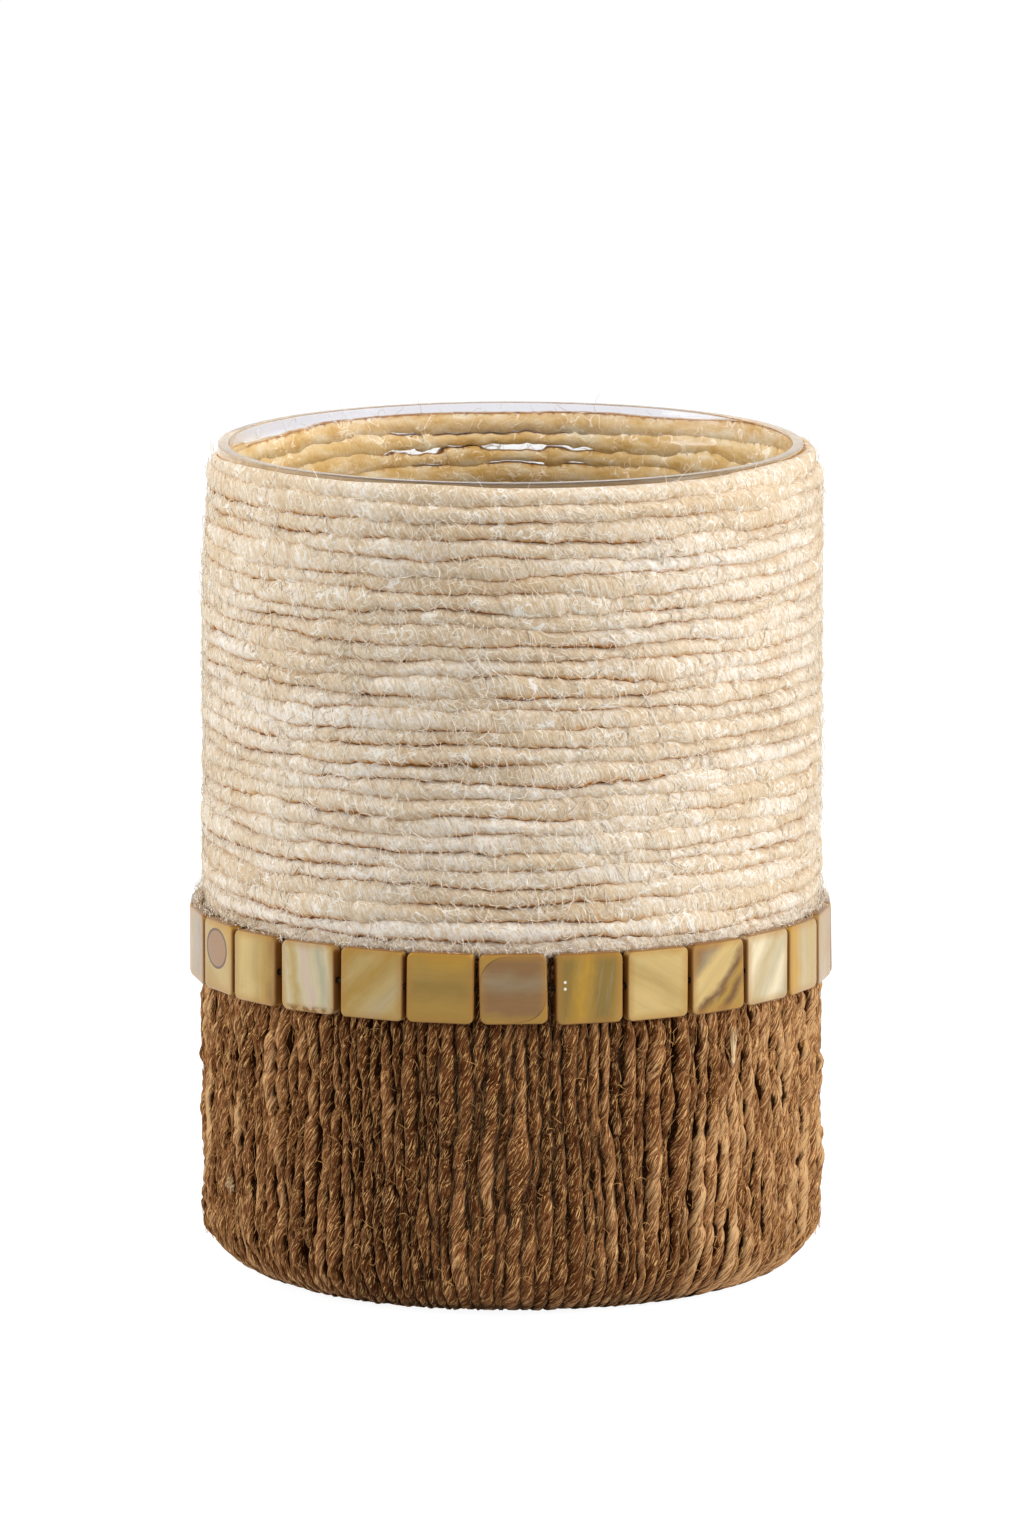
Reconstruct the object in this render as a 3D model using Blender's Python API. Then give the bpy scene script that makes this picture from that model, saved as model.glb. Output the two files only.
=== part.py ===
"""A glass tealight holder: a clear tumbler wrapped in cord, with a band of shell tiles.

Cream cord is wound round the upper part of the tumbler. Brown cord is laid up and down its
lower part and turned under the heel, where the holder stands on it. A string of flat shell
tiles covers the line where the two cords meet.
Metres, +Z up, the front towards -Y, origin at the centre of the surface it stands on.
"""

import math

import bmesh
import bpy

MM = 0.001

# Glass tumbler
OVERALL_HEIGHT = 100.0 * MM
GLASS_OUTER_RADIUS = 35.1 * MM
GLASS_WALL = 1.9 * MM
GLASS_FLOOR = 5.5 * MM
GLASS_HEEL_RADIUS = 5.3 * MM
GLASS_INNER_FILLET = 4.5 * MM
PUNT_DEPTH = 0.8 * MM
BASE_RING_WIDTH = 4.0 * MM

# Glue line left between a cord and the glass, between the two cords, and behind the tiles
GLUE_GAP = 0.3 * MM

# Cream cord, wound round the upper part
CREAM_CORD_DIAMETER = 1.83 * MM
CREAM_LEAST_GAP = 0.43 * MM
RIM_REVEAL = 0.6 * MM

# Brown cord, laid up and down the lower part. Its runs lie too close to show one by one, so the
# ribs here are two or three runs wide.
BROWN_CORD_THICKNESS = 1.9 * MM
BROWN_RIB_PITCH = 3.72 * MM
BROWN_GROOVE_DEPTH = 0.95 * MM
BROWN_PRESSED_GROOVE = 0.4 * MM
BROWN_FOOT_WIDTH = 1.8 * MM
BROWN_ABOVE_TILES = 0.5 * MM
BAND_PRESS = 0.6 * MM
BAND_PRESS_RAMP = 1.2 * MM

# Shell tiles and the thread that they are strung on
TILE_WIDTH = 8.1 * MM
TILE_HEIGHT = 8.5 * MM
TILE_THICKNESS = 1.5 * MM
TILE_CENTRE_HEIGHT = 40.2 * MM
TILE_CORNER_RADIUS = 0.8 * MM
TILE_SOFT_EDGE = 0.22 * MM
TILE_LEAST_GAP = 0.2 * MM
THREAD_RADIUS = 0.22 * MM
THREAD_CLEARANCE = 0.2 * MM

# How far a cutter runs past what it cuts
OVERRUN = 1.0 * MM
# Points closer than this are one point
WELD = 0.001 * MM

# Edges that turn more than this show as edges
SHARP_ANGLE = math.radians(35)

# How finely the round shapes are cut
GLASS_SEGMENTS = 60
LIP_STEPS = 4
FILLET_STEPS = 4
# The heels of the glass and of the cord round it take the same steps, so that they stay parallel.
HEEL_STEPS = 3
SLEEVE_BORE_SEGMENTS = 28
CREAM_POINTS_PER_TURN = 24
TILE_CORNER_STEPS = 2
HOLE_SIDES = 6

# Where the cream cord starts, from +X towards the back, and the share of a turn in which it climbs
CREAM_START_ANGLE = math.radians(20)
CREAM_CLIMB_SHARE = 140 / 360

# Levels and radii that follow from the sizes above
GLASS_BASE_LEVEL = BROWN_CORD_THICKNESS + GLUE_GAP
GLASS_FLOOR_LEVEL = GLASS_BASE_LEVEL + GLASS_FLOOR
CORD_SEAT_RADIUS = GLASS_OUTER_RADIUS + GLUE_GAP
BROWN_OUTER_RADIUS = CORD_SEAT_RADIUS + BROWN_CORD_THICKNESS
BROWN_INNER_HEEL = GLASS_HEEL_RADIUS + GLUE_GAP
BROWN_OUTER_HEEL = BROWN_INNER_HEEL + BROWN_CORD_THICKNESS
TILE_BOTTOM = TILE_CENTRE_HEIGHT - TILE_HEIGHT / 2
TILE_TOP = TILE_CENTRE_HEIGHT + TILE_HEIGHT / 2
BROWN_TOP = TILE_TOP + BROWN_ABOVE_TILES
CREAM_BOTTOM = BROWN_TOP + GLUE_GAP
CREAM_TOP = OVERALL_HEIGHT - RIM_REVEAL
BAND_SEAT_RADIUS = BROWN_OUTER_RADIUS - BAND_PRESS
TILE_BACK_RADIUS = BAND_SEAT_RADIUS + GLUE_GAP
TILE_MIDDLE_RADIUS = TILE_BACK_RADIUS + TILE_THICKNESS / 2


def clear_scene():
    """Removes whatever the scene holds."""
    for old in list(bpy.data.objects):
        bpy.data.objects.remove(old, do_unlink=True)


def material(name, colour, roughness, metallic=0.0, transmission=0.0):
    """A plain Principled material."""
    made = bpy.data.materials.new(name)
    made.use_nodes = True
    shader = made.node_tree.nodes["Principled BSDF"]
    shader.inputs["Base Color"].default_value = (*colour, 1.0)
    shader.inputs["Roughness"].default_value = roughness
    shader.inputs["Metallic"].default_value = metallic
    shader.inputs["Transmission Weight"].default_value = transmission
    return made


def add_object(name, data, look):
    """Puts data in the scene as an object with one material."""
    made = bpy.data.objects.new(name, data)
    bpy.context.scene.collection.objects.link(made)
    if look and not data.materials:
        data.materials.append(look)
    return made


def mesh_from(bm, name, sharp_angle=None):
    """Finishes a bmesh as a mesh with its faces out, shaded smooth but for edges marked or found sharp."""
    bmesh.ops.recalc_face_normals(bm, faces=bm.faces[:])
    for face in bm.faces:
        face.smooth = True
    mesh = bpy.data.meshes.new(name)
    bm.to_mesh(mesh)
    bm.free()
    if sharp_angle:
        mesh.set_sharp_from_angle(angle=sharp_angle)
    return mesh


def arc(centre_r, centre_z, radius, start_deg, end_deg, steps):
    """Points (r, z) on an arc of a profile, both ends included."""
    points = []
    for i in range(steps + 1):
        angle = math.radians(start_deg + (end_deg - start_deg) * i / steps)
        points.append((centre_r + radius * math.cos(angle), centre_z + radius * math.sin(angle)))
    return points


def revolve(profile, name, segments):
    """Spins a profile of (r, z) points, which starts and ends on the axis, into a closed body."""
    bm = bmesh.new()
    verts = [bm.verts.new((r, 0, z)) for r, z in profile]
    edges = [bm.edges.new(pair) for pair in zip(verts, verts[1:])]
    bmesh.ops.spin(
        bm,
        geom=verts + edges,
        cent=(0, 0, 0),
        axis=(0, 0, 1),
        angle=math.tau,
        steps=segments,
        use_merge=True,
    )
    bmesh.ops.remove_doubles(bm, verts=bm.verts[:], dist=WELD)
    return mesh_from(bm, name, SHARP_ANGLE)


def make_glass(look):
    """The tumbler: heavy floor, rounded heel, shallow punt under the base, round fire-polished lip."""
    inner_radius = GLASS_OUTER_RADIUS - GLASS_WALL
    lip_radius = GLASS_WALL / 2
    heel_centre = GLASS_OUTER_RADIUS - GLASS_HEEL_RADIUS
    punt_radius = heel_centre - BASE_RING_WIDTH
    punt_shares = (0, 1 / 3, 2 / 3)
    punt = [(punt_radius * s, GLASS_BASE_LEVEL + PUNT_DEPTH * (1 - s * s)) for s in punt_shares]
    profile = [
        *punt,
        (punt_radius, GLASS_BASE_LEVEL),
        *arc(heel_centre, GLASS_BASE_LEVEL + GLASS_HEEL_RADIUS, GLASS_HEEL_RADIUS, -90, 0, HEEL_STEPS),
        *arc(inner_radius + lip_radius, OVERALL_HEIGHT - lip_radius, lip_radius, 0, 180, LIP_STEPS),
        *arc(
            inner_radius - GLASS_INNER_FILLET,
            GLASS_FLOOR_LEVEL + GLASS_INNER_FILLET,
            GLASS_INNER_FILLET,
            0,
            -90,
            FILLET_STEPS,
        ),
        (0, GLASS_FLOOR_LEVEL),
    ]
    return add_object("glass_tumbler", revolve(profile, "glass_tumbler", GLASS_SEGMENTS), look)


def climb(turns):
    """Pitches climbed after so many turns: level round the front, rising smoothly across the back."""
    whole, part = divmod(turns, 1)
    rising = max(0.0, (part - (1 - CREAM_CLIMB_SHARE)) / CREAM_CLIMB_SHARE)
    return whole + rising * rising * (3 - 2 * rising)


def winding_points(turn_count, pitch, radius):
    """Points along the cord. It climbs as it goes clockwise, seen from above, and ends after the front."""
    last_turn_share = 1 - CREAM_CLIMB_SHARE
    steps = round((turn_count - 1 + last_turn_share) * CREAM_POINTS_PER_TURN)
    first_level = CREAM_BOTTOM + CREAM_CORD_DIAMETER / 2
    points = []
    for i in range(steps + 1):
        turns = i / CREAM_POINTS_PER_TURN
        angle = CREAM_START_ANGLE - math.tau * turns
        level = first_level + pitch * climb(turns)
        points.append((radius * math.cos(angle), radius * math.sin(angle), level))
    return points


def with_straight_ends(points, length):
    """The same points with a straight stretch of that length added past each end."""
    ends = []
    for end, inner in ((points[0], points[1]), (points[-1], points[-2])):
        reach = length / math.dist(end, inner)
        ends.append(tuple(e + (e - n) * reach for e, n in zip(end, inner)))
    return [ends[0], *points, ends[1]]


def least_gap(points, diameter):
    """The smallest gap between one turn of a cord and another, measured from point to point."""
    apart = CREAM_POINTS_PER_TURN // 2
    nearest = min(
        math.dist(point, other)
        for i, point in enumerate(points)
        for other in points[i + apart : i + apart + CREAM_POINTS_PER_TURN]
    )
    return nearest - diameter


def add_tube(name, points, radius, cyclic, bevel_resolution, look):
    """A round cord along points, as one curve with a bevel."""
    curve = bpy.data.curves.new(name, "CURVE")
    curve.dimensions = "3D"
    curve.bevel_depth = radius
    curve.bevel_resolution = bevel_resolution
    curve.use_fill_caps = not cyclic
    spline = curve.splines.new("POLY")
    spline.points.add(len(points) - 1)
    for target, point in zip(spline.points, points):
        target.co = (*point, 1)
    spline.use_cyclic_u = cyclic
    return add_object(name, curve, look)


def make_cream_winding(look):
    """One unbroken cream cord in level turns, side by side, that step up across the back."""
    span = CREAM_TOP - CREAM_BOTTOM - CREAM_CORD_DIAMETER
    gaps = int(span / (CREAM_CORD_DIAMETER + CREAM_LEAST_GAP))
    pitch = span / gaps
    # The chords between points, not the points, keep the glue line to the glass.
    radius = (CORD_SEAT_RADIUS + CREAM_CORD_DIAMETER / 2) / math.cos(math.pi / CREAM_POINTS_PER_TURN)
    points = winding_points(gaps + 1, pitch, radius)
    print(f"cream winding: {gaps + 1} turns, least gap {least_gap(points, CREAM_CORD_DIAMETER) / MM:.3f} mm")
    points = with_straight_ends(points, CREAM_CORD_DIAMETER)
    return add_tube("cream_cord_winding", points, CREAM_CORD_DIAMETER / 2, False, 1, look)


def sleeve_rows():
    """(radius, level, groove depth) of the brown cords' outer face, from top to foot."""
    press_end = TILE_BOTTOM - GLUE_GAP
    # The tiles press the cords in and their grooves shut.
    rows = [
        (BAND_SEAT_RADIUS, BROWN_TOP, BROWN_PRESSED_GROOVE),
        (BAND_SEAT_RADIUS, press_end, BROWN_PRESSED_GROOVE),
        (BROWN_OUTER_RADIUS, press_end - BAND_PRESS_RAMP, BROWN_GROOVE_DEPTH),
    ]
    centre = BROWN_OUTER_RADIUS - BROWN_OUTER_HEEL
    heel = arc(centre, BROWN_OUTER_HEEL, BROWN_OUTER_HEEL, 0, -90, HEEL_STEPS)
    rows += [(radius, level, BROWN_GROOVE_DEPTH) for radius, level in heel[:-1]]
    # The cords are pressed flat where the holder stands on them.
    return [*rows, (centre, 0, 0)]


def make_sleeve_core():
    """What is taken out of the cords: the glass and its glue line, and the open middle of the foot."""
    # The flats between the bore's corners, not the corners, keep the glue line to the glass.
    bore_radius = CORD_SEAT_RADIUS / math.cos(math.pi / SLEEVE_BORE_SEGMENTS)
    inner_heel_centre = bore_radius - BROWN_INNER_HEEL
    foot_radius = BROWN_OUTER_RADIUS - BROWN_OUTER_HEEL - BROWN_FOOT_WIDTH
    heel_level = BROWN_CORD_THICKNESS + BROWN_INNER_HEEL
    profile = [
        (0, -OVERRUN),
        (foot_radius, -OVERRUN),
        (foot_radius, BROWN_CORD_THICKNESS),
        *arc(inner_heel_centre, heel_level, BROWN_INNER_HEEL, -90, 0, HEEL_STEPS),
        (bore_radius, BROWN_TOP + OVERRUN),
        (0, BROWN_TOP + OVERRUN),
    ]
    core = add_object("sleeve_core", revolve(profile, "sleeve_core", SLEEVE_BORE_SEGMENTS), None)
    core.hide_render = True
    core.display_type = "WIRE"
    return core


def make_brown_sleeve(look):
    """The brown cords: runs laid side by side up and down, glued edge to edge, turned under the heel."""
    rib_count = round(math.tau * BROWN_OUTER_RADIUS / BROWN_RIB_PITCH)
    side_count = 2 * rib_count
    bm = bmesh.new()
    rings = []
    for radius, level, groove in sleeve_rows():
        ring = []
        for side in range(side_count):
            angle = math.tau * side / side_count
            reach = radius - groove * (side % 2)
            ring.append(bm.verts.new((reach * math.cos(angle), reach * math.sin(angle), level)))
        rings.append(ring)
    for upper, lower in zip(rings, rings[1:]):
        for side in range(side_count):
            after = (side + 1) % side_count
            bm.faces.new((upper[side], upper[after], lower[after], lower[side]))
            if side % 2:
                bm.edges.get((upper[side], lower[side])).smooth = False
    for ring in (rings[0], rings[-1]):
        for edge in bm.faces.new(ring).edges:
            edge.smooth = False
    sleeve = add_object("brown_cord_sleeve", mesh_from(bm, "brown_cord_sleeve"), look)
    cut = sleeve.modifiers.new("room for the glass", "BOOLEAN")
    cut.operation = "DIFFERENCE"
    cut.object = make_sleeve_core()
    return sleeve


def tile_count():
    """As many tiles as fit side by side round the band."""
    needed = math.atan((TILE_WIDTH + TILE_LEAST_GAP) / (2 * TILE_BACK_RADIUS))
    return int(math.pi / needed)


def tile_blank():
    """A flat tile with round corners and soft edges: X across, Z up, its face towards -Y."""
    bm = bmesh.new()
    bmesh.ops.create_cube(bm, size=1)
    bmesh.ops.scale(bm, vec=(TILE_WIDTH, TILE_THICKNESS, TILE_HEIGHT), verts=bm.verts[:])
    through = [e for e in bm.edges if abs(e.verts[0].co.y - e.verts[1].co.y) > TILE_THICKNESS / 2]
    bmesh.ops.bevel(
        bm,
        geom=through,
        offset=TILE_CORNER_RADIUS,
        segments=TILE_CORNER_STEPS,
        profile=0.5,
        affect="EDGES",
    )
    rims = [e for e in bm.edges if abs(e.verts[0].co.y - e.verts[1].co.y) < WELD]
    bmesh.ops.bevel(bm, geom=rims, offset=TILE_SOFT_EDGE, segments=1, profile=0.5, affect="EDGES")
    return add_object("tile_blank", mesh_from(bm, "tile_blank", SHARP_ANGLE), None)


def thread_drill():
    """The cutter for the thread's hole, through a tile from side to side."""
    bm = bmesh.new()
    bmesh.ops.create_cone(
        bm,
        cap_ends=True,
        segments=HOLE_SIDES,
        radius1=THREAD_RADIUS + THREAD_CLEARANCE,
        radius2=THREAD_RADIUS + THREAD_CLEARANCE,
        depth=TILE_WIDTH + 2 * OVERRUN,
    )
    drill = add_object("thread_drill", mesh_from(bm, "thread_drill", SHARP_ANGLE), None)
    drill.rotation_euler.y = math.pi / 2
    return drill


def drilled_tile_mesh():
    """The mesh that every tile shares: the blank with the thread's hole through it."""
    blank, drill = tile_blank(), thread_drill()
    hole = blank.modifiers.new("hole", "BOOLEAN")
    hole.operation = "DIFFERENCE"
    hole.object = drill
    graph = bpy.context.evaluated_depsgraph_get()
    mesh = bpy.data.meshes.new_from_object(blank.evaluated_get(graph))
    mesh.name = "shell_tile"
    for helper in (blank, drill):
        bpy.data.objects.remove(helper, do_unlink=True)
    return mesh


def make_tile_band(shell_look, thread_look):
    """The string of tiles: drilled shell squares all round, on one closed thread."""
    count = tile_count()
    band = bpy.data.objects.new("tile_band", None)
    band.location = (0, 0, TILE_CENTRE_HEIGHT)
    bpy.context.scene.collection.objects.link(band)
    mesh = drilled_tile_mesh()
    for i in range(count):
        angle = math.tau * i / count
        tile = add_object(f"shell_tile_{i + 1:02d}", mesh, shell_look)
        tile.parent = band
        tile.location = (TILE_MIDDLE_RADIUS * math.sin(angle), -TILE_MIDDLE_RADIUS * math.cos(angle), 0)
        tile.rotation_euler.z = angle
    # The thread bends only in the gaps between tiles, and runs straight through each hole.
    bend_radius = TILE_MIDDLE_RADIUS / math.cos(math.pi / count)
    bends = []
    for i in range(count):
        angle = math.tau * (i + 0.5) / count
        bends.append((bend_radius * math.sin(angle), -bend_radius * math.cos(angle), 0))
    thread = add_tube("tile_thread", bends, THREAD_RADIUS, True, 2, thread_look)
    thread.parent = band


def build():
    """The whole holder."""
    clear_scene()
    make_glass(material("clear_glass", (0.93, 0.95, 0.94), 0.02, transmission=1.0))
    make_cream_winding(material("cream_cord", (0.72, 0.58, 0.42), 0.9))
    make_brown_sleeve(material("brown_cord", (0.23, 0.13, 0.07), 0.9))
    make_tile_band(
        material("shell", (0.55, 0.42, 0.17), 0.25),
        material("dark_thread", (0.05, 0.04, 0.03), 0.7),
    )


build()
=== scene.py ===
"""The looks of a glass tealight holder: cord yarns with their lay and fuzz, shell tiles, clear glass.

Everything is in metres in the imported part's frame: +Z up, the photographed front towards -Y.
Angles round the holder are measured from its front towards +X.
"""

import math

import bmesh
import bpy
import numpy as np
from mathutils import Euler, Matrix, Vector


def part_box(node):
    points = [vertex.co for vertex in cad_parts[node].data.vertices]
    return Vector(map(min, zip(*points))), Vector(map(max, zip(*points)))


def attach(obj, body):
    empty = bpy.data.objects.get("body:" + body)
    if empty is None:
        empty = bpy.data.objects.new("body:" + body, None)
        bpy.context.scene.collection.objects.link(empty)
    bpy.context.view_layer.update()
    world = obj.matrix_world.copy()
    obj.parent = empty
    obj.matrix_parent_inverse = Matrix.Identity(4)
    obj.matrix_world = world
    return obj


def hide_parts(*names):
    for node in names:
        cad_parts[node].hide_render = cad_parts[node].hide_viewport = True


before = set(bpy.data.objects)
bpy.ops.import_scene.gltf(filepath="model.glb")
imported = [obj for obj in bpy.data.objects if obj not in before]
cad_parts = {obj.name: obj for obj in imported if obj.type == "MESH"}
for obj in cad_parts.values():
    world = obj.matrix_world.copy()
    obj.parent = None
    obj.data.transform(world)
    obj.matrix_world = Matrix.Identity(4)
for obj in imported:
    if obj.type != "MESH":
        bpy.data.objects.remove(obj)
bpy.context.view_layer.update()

MM = 0.001
TAU = math.tau

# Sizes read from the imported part
glass_low, glass_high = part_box("glass_tumbler")
_, cream_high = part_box("cream_cord_winding")
sleeve_low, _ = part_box("brown_cord_sleeve")
tile_low, tile_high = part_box("shell_tile_01")
GLASS_RADIUS = glass_high[0]
GLASS_BASE = glass_low[2]
RIM_LEVEL = glass_high[2]
CREAM_TOP = cream_high[2]
TILE_BOTTOM = tile_low[2]
TILE_TOP = tile_high[2]
TILE_MIDDLE_RADIUS = -(tile_low[1] + tile_high[1]) / 2
TILE_WIDTH = tile_high[0] - tile_low[0]
TILE_HEIGHT = tile_high[2] - tile_low[2]
TILE_THICKNESS = tile_high[1] - tile_low[1]
TILE_LEVEL = (tile_high[2] + tile_low[2]) / 2
TILE_COUNT = sum(name.startswith("shell_tile_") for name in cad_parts)


# Colours

def srgb(red, green, blue):
    """A colour given as it looks on screen, 0 to 255, as the linear values that shaders take."""
    return tuple(
        (c / 255 / 12.92) if c <= 10 else ((c / 255 + 0.055) / 1.055) ** 2.4 for c in (red, green, blue)
    )


# Random values

def eased(part):
    """A share from 0 to 1 with a soft start and end."""
    return part * part * (3 - 2 * part)


def smooth_step(low, high, value):
    """0 below low, 1 above high, and a smooth rise between them."""
    return eased(np.clip((np.asarray(value, float) - low) / (high - low), 0, 1))


def wander(along, spacing, seed):
    """Smooth random values from -1 to 1 along a line, with a new one at each spacing."""
    along = np.asarray(along, float)
    knots = np.floor(along / spacing).astype(int)
    first = knots.min()
    values = np.random.default_rng(seed).uniform(-1, 1, knots.max() - first + 2)
    ease = eased(along / spacing - knots)
    return values[knots - first] * (1 - ease) + values[knots - first + 1] * ease


def wander_in_sizes(along, *sizes):
    """Adds up random values along a line, for each given strength, spacing and seed."""
    return sum(strength * wander(along, spacing, seed) for strength, spacing, seed in sizes)


def wander_round(share, across, columns, spacing, seed):
    """As wander, over a wall: the share of the way round it closes on itself."""
    share, across = np.broadcast_arrays(np.asarray(share, float), np.asarray(across, float))
    column = np.floor(share * columns).astype(int)
    ease_round = eased(share * columns - column)
    row = np.floor(across / spacing).astype(int)
    ease_across = eased(across / spacing - row)
    row = row - row.min()
    column, next_column = column % columns, (column + 1) % columns
    values = np.random.default_rng(seed).uniform(-1, 1, (columns, row.max() + 2))
    before = values[column, row] * (1 - ease_across) + values[column, row + 1] * ease_across
    after = values[next_column, row] * (1 - ease_across) + values[next_column, row + 1] * ease_across
    return before * (1 - ease_round) + after * ease_round


# Meshes

def around(radius, angle, level):
    """Points at a radius from the holder's axis, an angle round it and a level."""
    return np.stack(np.broadcast_arrays(radius * np.sin(angle), -radius * np.cos(angle), level), axis=-1)


def unit(vectors):
    """The vectors' directions, each with length 1."""
    return vectors / np.linalg.norm(vectors, axis=-1, keepdims=True)


def tube_points(centre, outward, wide, deep):
    """Points round a line, each so far across it and so far outward from it as wide and deep say."""
    tangent = unit(np.gradient(centre, axis=-2))
    outward = unit(outward - tangent * (outward * tangent).sum(-1, keepdims=True))
    across = np.cross(outward, tangent)
    off_line = across[..., None, :] * wide[..., None] + outward[..., None, :] * deep[..., None]
    return centre[..., None, :] + off_line


def mesh_from_arrays(name, points, quads, triangles):
    """A mesh with smooth faces from arrays of points, quads and triangles."""
    corners = np.concatenate([np.ravel(quads), np.ravel(triangles)]).astype(np.int32)
    starts = np.concatenate([np.arange(len(quads)) * 4, len(quads) * 4 + np.arange(len(triangles)) * 3])
    mesh = bpy.data.meshes.new(name)
    mesh.vertices.add(len(points))
    mesh.vertices.foreach_set("co", np.asarray(points, np.float32).ravel())
    mesh.loops.add(len(corners))
    mesh.loops.foreach_set("vertex_index", corners)
    mesh.polygons.add(len(starts))
    mesh.polygons.foreach_set("loop_start", starts.astype(np.int32))
    mesh.update(calc_edges=True)
    mesh.shade_smooth()
    return mesh


def set_values(mesh, name, values):
    """Stores one number, or one vector, for each point of the mesh."""
    values = np.asarray(values, np.float32)
    if values.ndim == 2:
        mesh.attributes.new(name, "FLOAT_VECTOR", "POINT").data.foreach_set("vector", values.ravel())
    else:
        mesh.attributes.new(name, "FLOAT", "POINT").data.foreach_set("value", values)


def in_scene(name, data):
    """Puts a mesh, a lamp or a camera in the scene."""
    made = bpy.data.objects.new(name, data)
    bpy.context.scene.collection.objects.link(made)
    return made


def add_piece(name, mesh, look, slot, node, place=Matrix()):
    """Puts a mesh in the scene as a piece that rides with the part and stands for the named node."""
    piece = in_scene(name, mesh)
    piece.matrix_world = place
    mesh.materials.clear()
    mesh.materials.append(look)
    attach(piece, "root")
    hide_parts(node)


def ring_quads(ring_count, sides):
    """The quads between rings of points that follow each other, each ring closed on itself."""
    ring = np.arange(ring_count - 1)[:, None]
    side = np.arange(sides)[None, :]
    beside = (side + 1) % sides
    quads = np.stack([
        ring * sides + side, ring * sides + beside, (ring + 1) * sides + beside, (ring + 1) * sides + side
    ], axis=-1)
    return quads.reshape(-1, 4)


def fan(first, sides, centre, backwards):
    """Triangles that close a ring of points with one point in its middle, facing back or on."""
    side = np.arange(sides)
    beside = (side + 1) % sides
    middle = np.full(sides, centre)
    pair = (beside, side) if backwards else (side, beside)
    return np.stack([first + pair[0], first + pair[1], middle], axis=-1)


def closed_mesh(name, points, sides):
    """A mesh from rings of points that follow each other, its last two points the middles of its ends."""
    count = len(points) - 2
    ends = np.concatenate([fan(0, sides, count, True), fan(count - sides, sides, count + 1, False)])
    return mesh_from_arrays(name, points, ring_quads(count // sides, sides), ends)


def made_mesh(name, make, **sizes):
    """A mesh made by one of Blender's makers of simple shapes."""
    bm = bmesh.new()
    make(bm, **sizes)
    mesh = bpy.data.meshes.new(name)
    bm.to_mesh(mesh)
    bm.free()
    return mesh


# Cord yarns

# Where the points of a yarn's section lie, from its side, more of them on the face that shows
SECTION_ANGLES = np.radians([0, 20, 40, 60, 80, 100, 120, 140, 160, 180, 225, 270, 315])
# The side glued to the glass is nearly square, and swollen so that neighbours close the gap there
GLUED_SIDE_POWER = 0.15
GLUED_SIDE_SWELL = 0.1
# The waves round a yarn, with how strong each is, and how much less painted shade their crests take
RIDGE_WAVES = ((2, 0.35), (3, 0.45), (5, 0.45), (7, 0.35))
RIDGE_SHADE = 0.14
RIDGE_SPACING_SHARE = 0.45
# The depth in painted shade given to the closed ends of a yarn's pieces
CUT_END_DEPTH = 0.6


def ridges_round(turned, along, spacing, seed):
    """Uneven ridges round a yarn: a few waves round it whose size and place wander along it."""
    total = np.zeros(turned.shape)
    for order, weight in RIDGE_WAVES:
        size = 0.5 + 0.5 * wander(along, 2 * spacing / order, seed + order)
        shift = 2.5 * wander(along, 4 * spacing / order, seed + 10 + order)
        total += weight * size[:, None] * np.cos(order * turned + shift[:, None])
    return total


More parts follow.
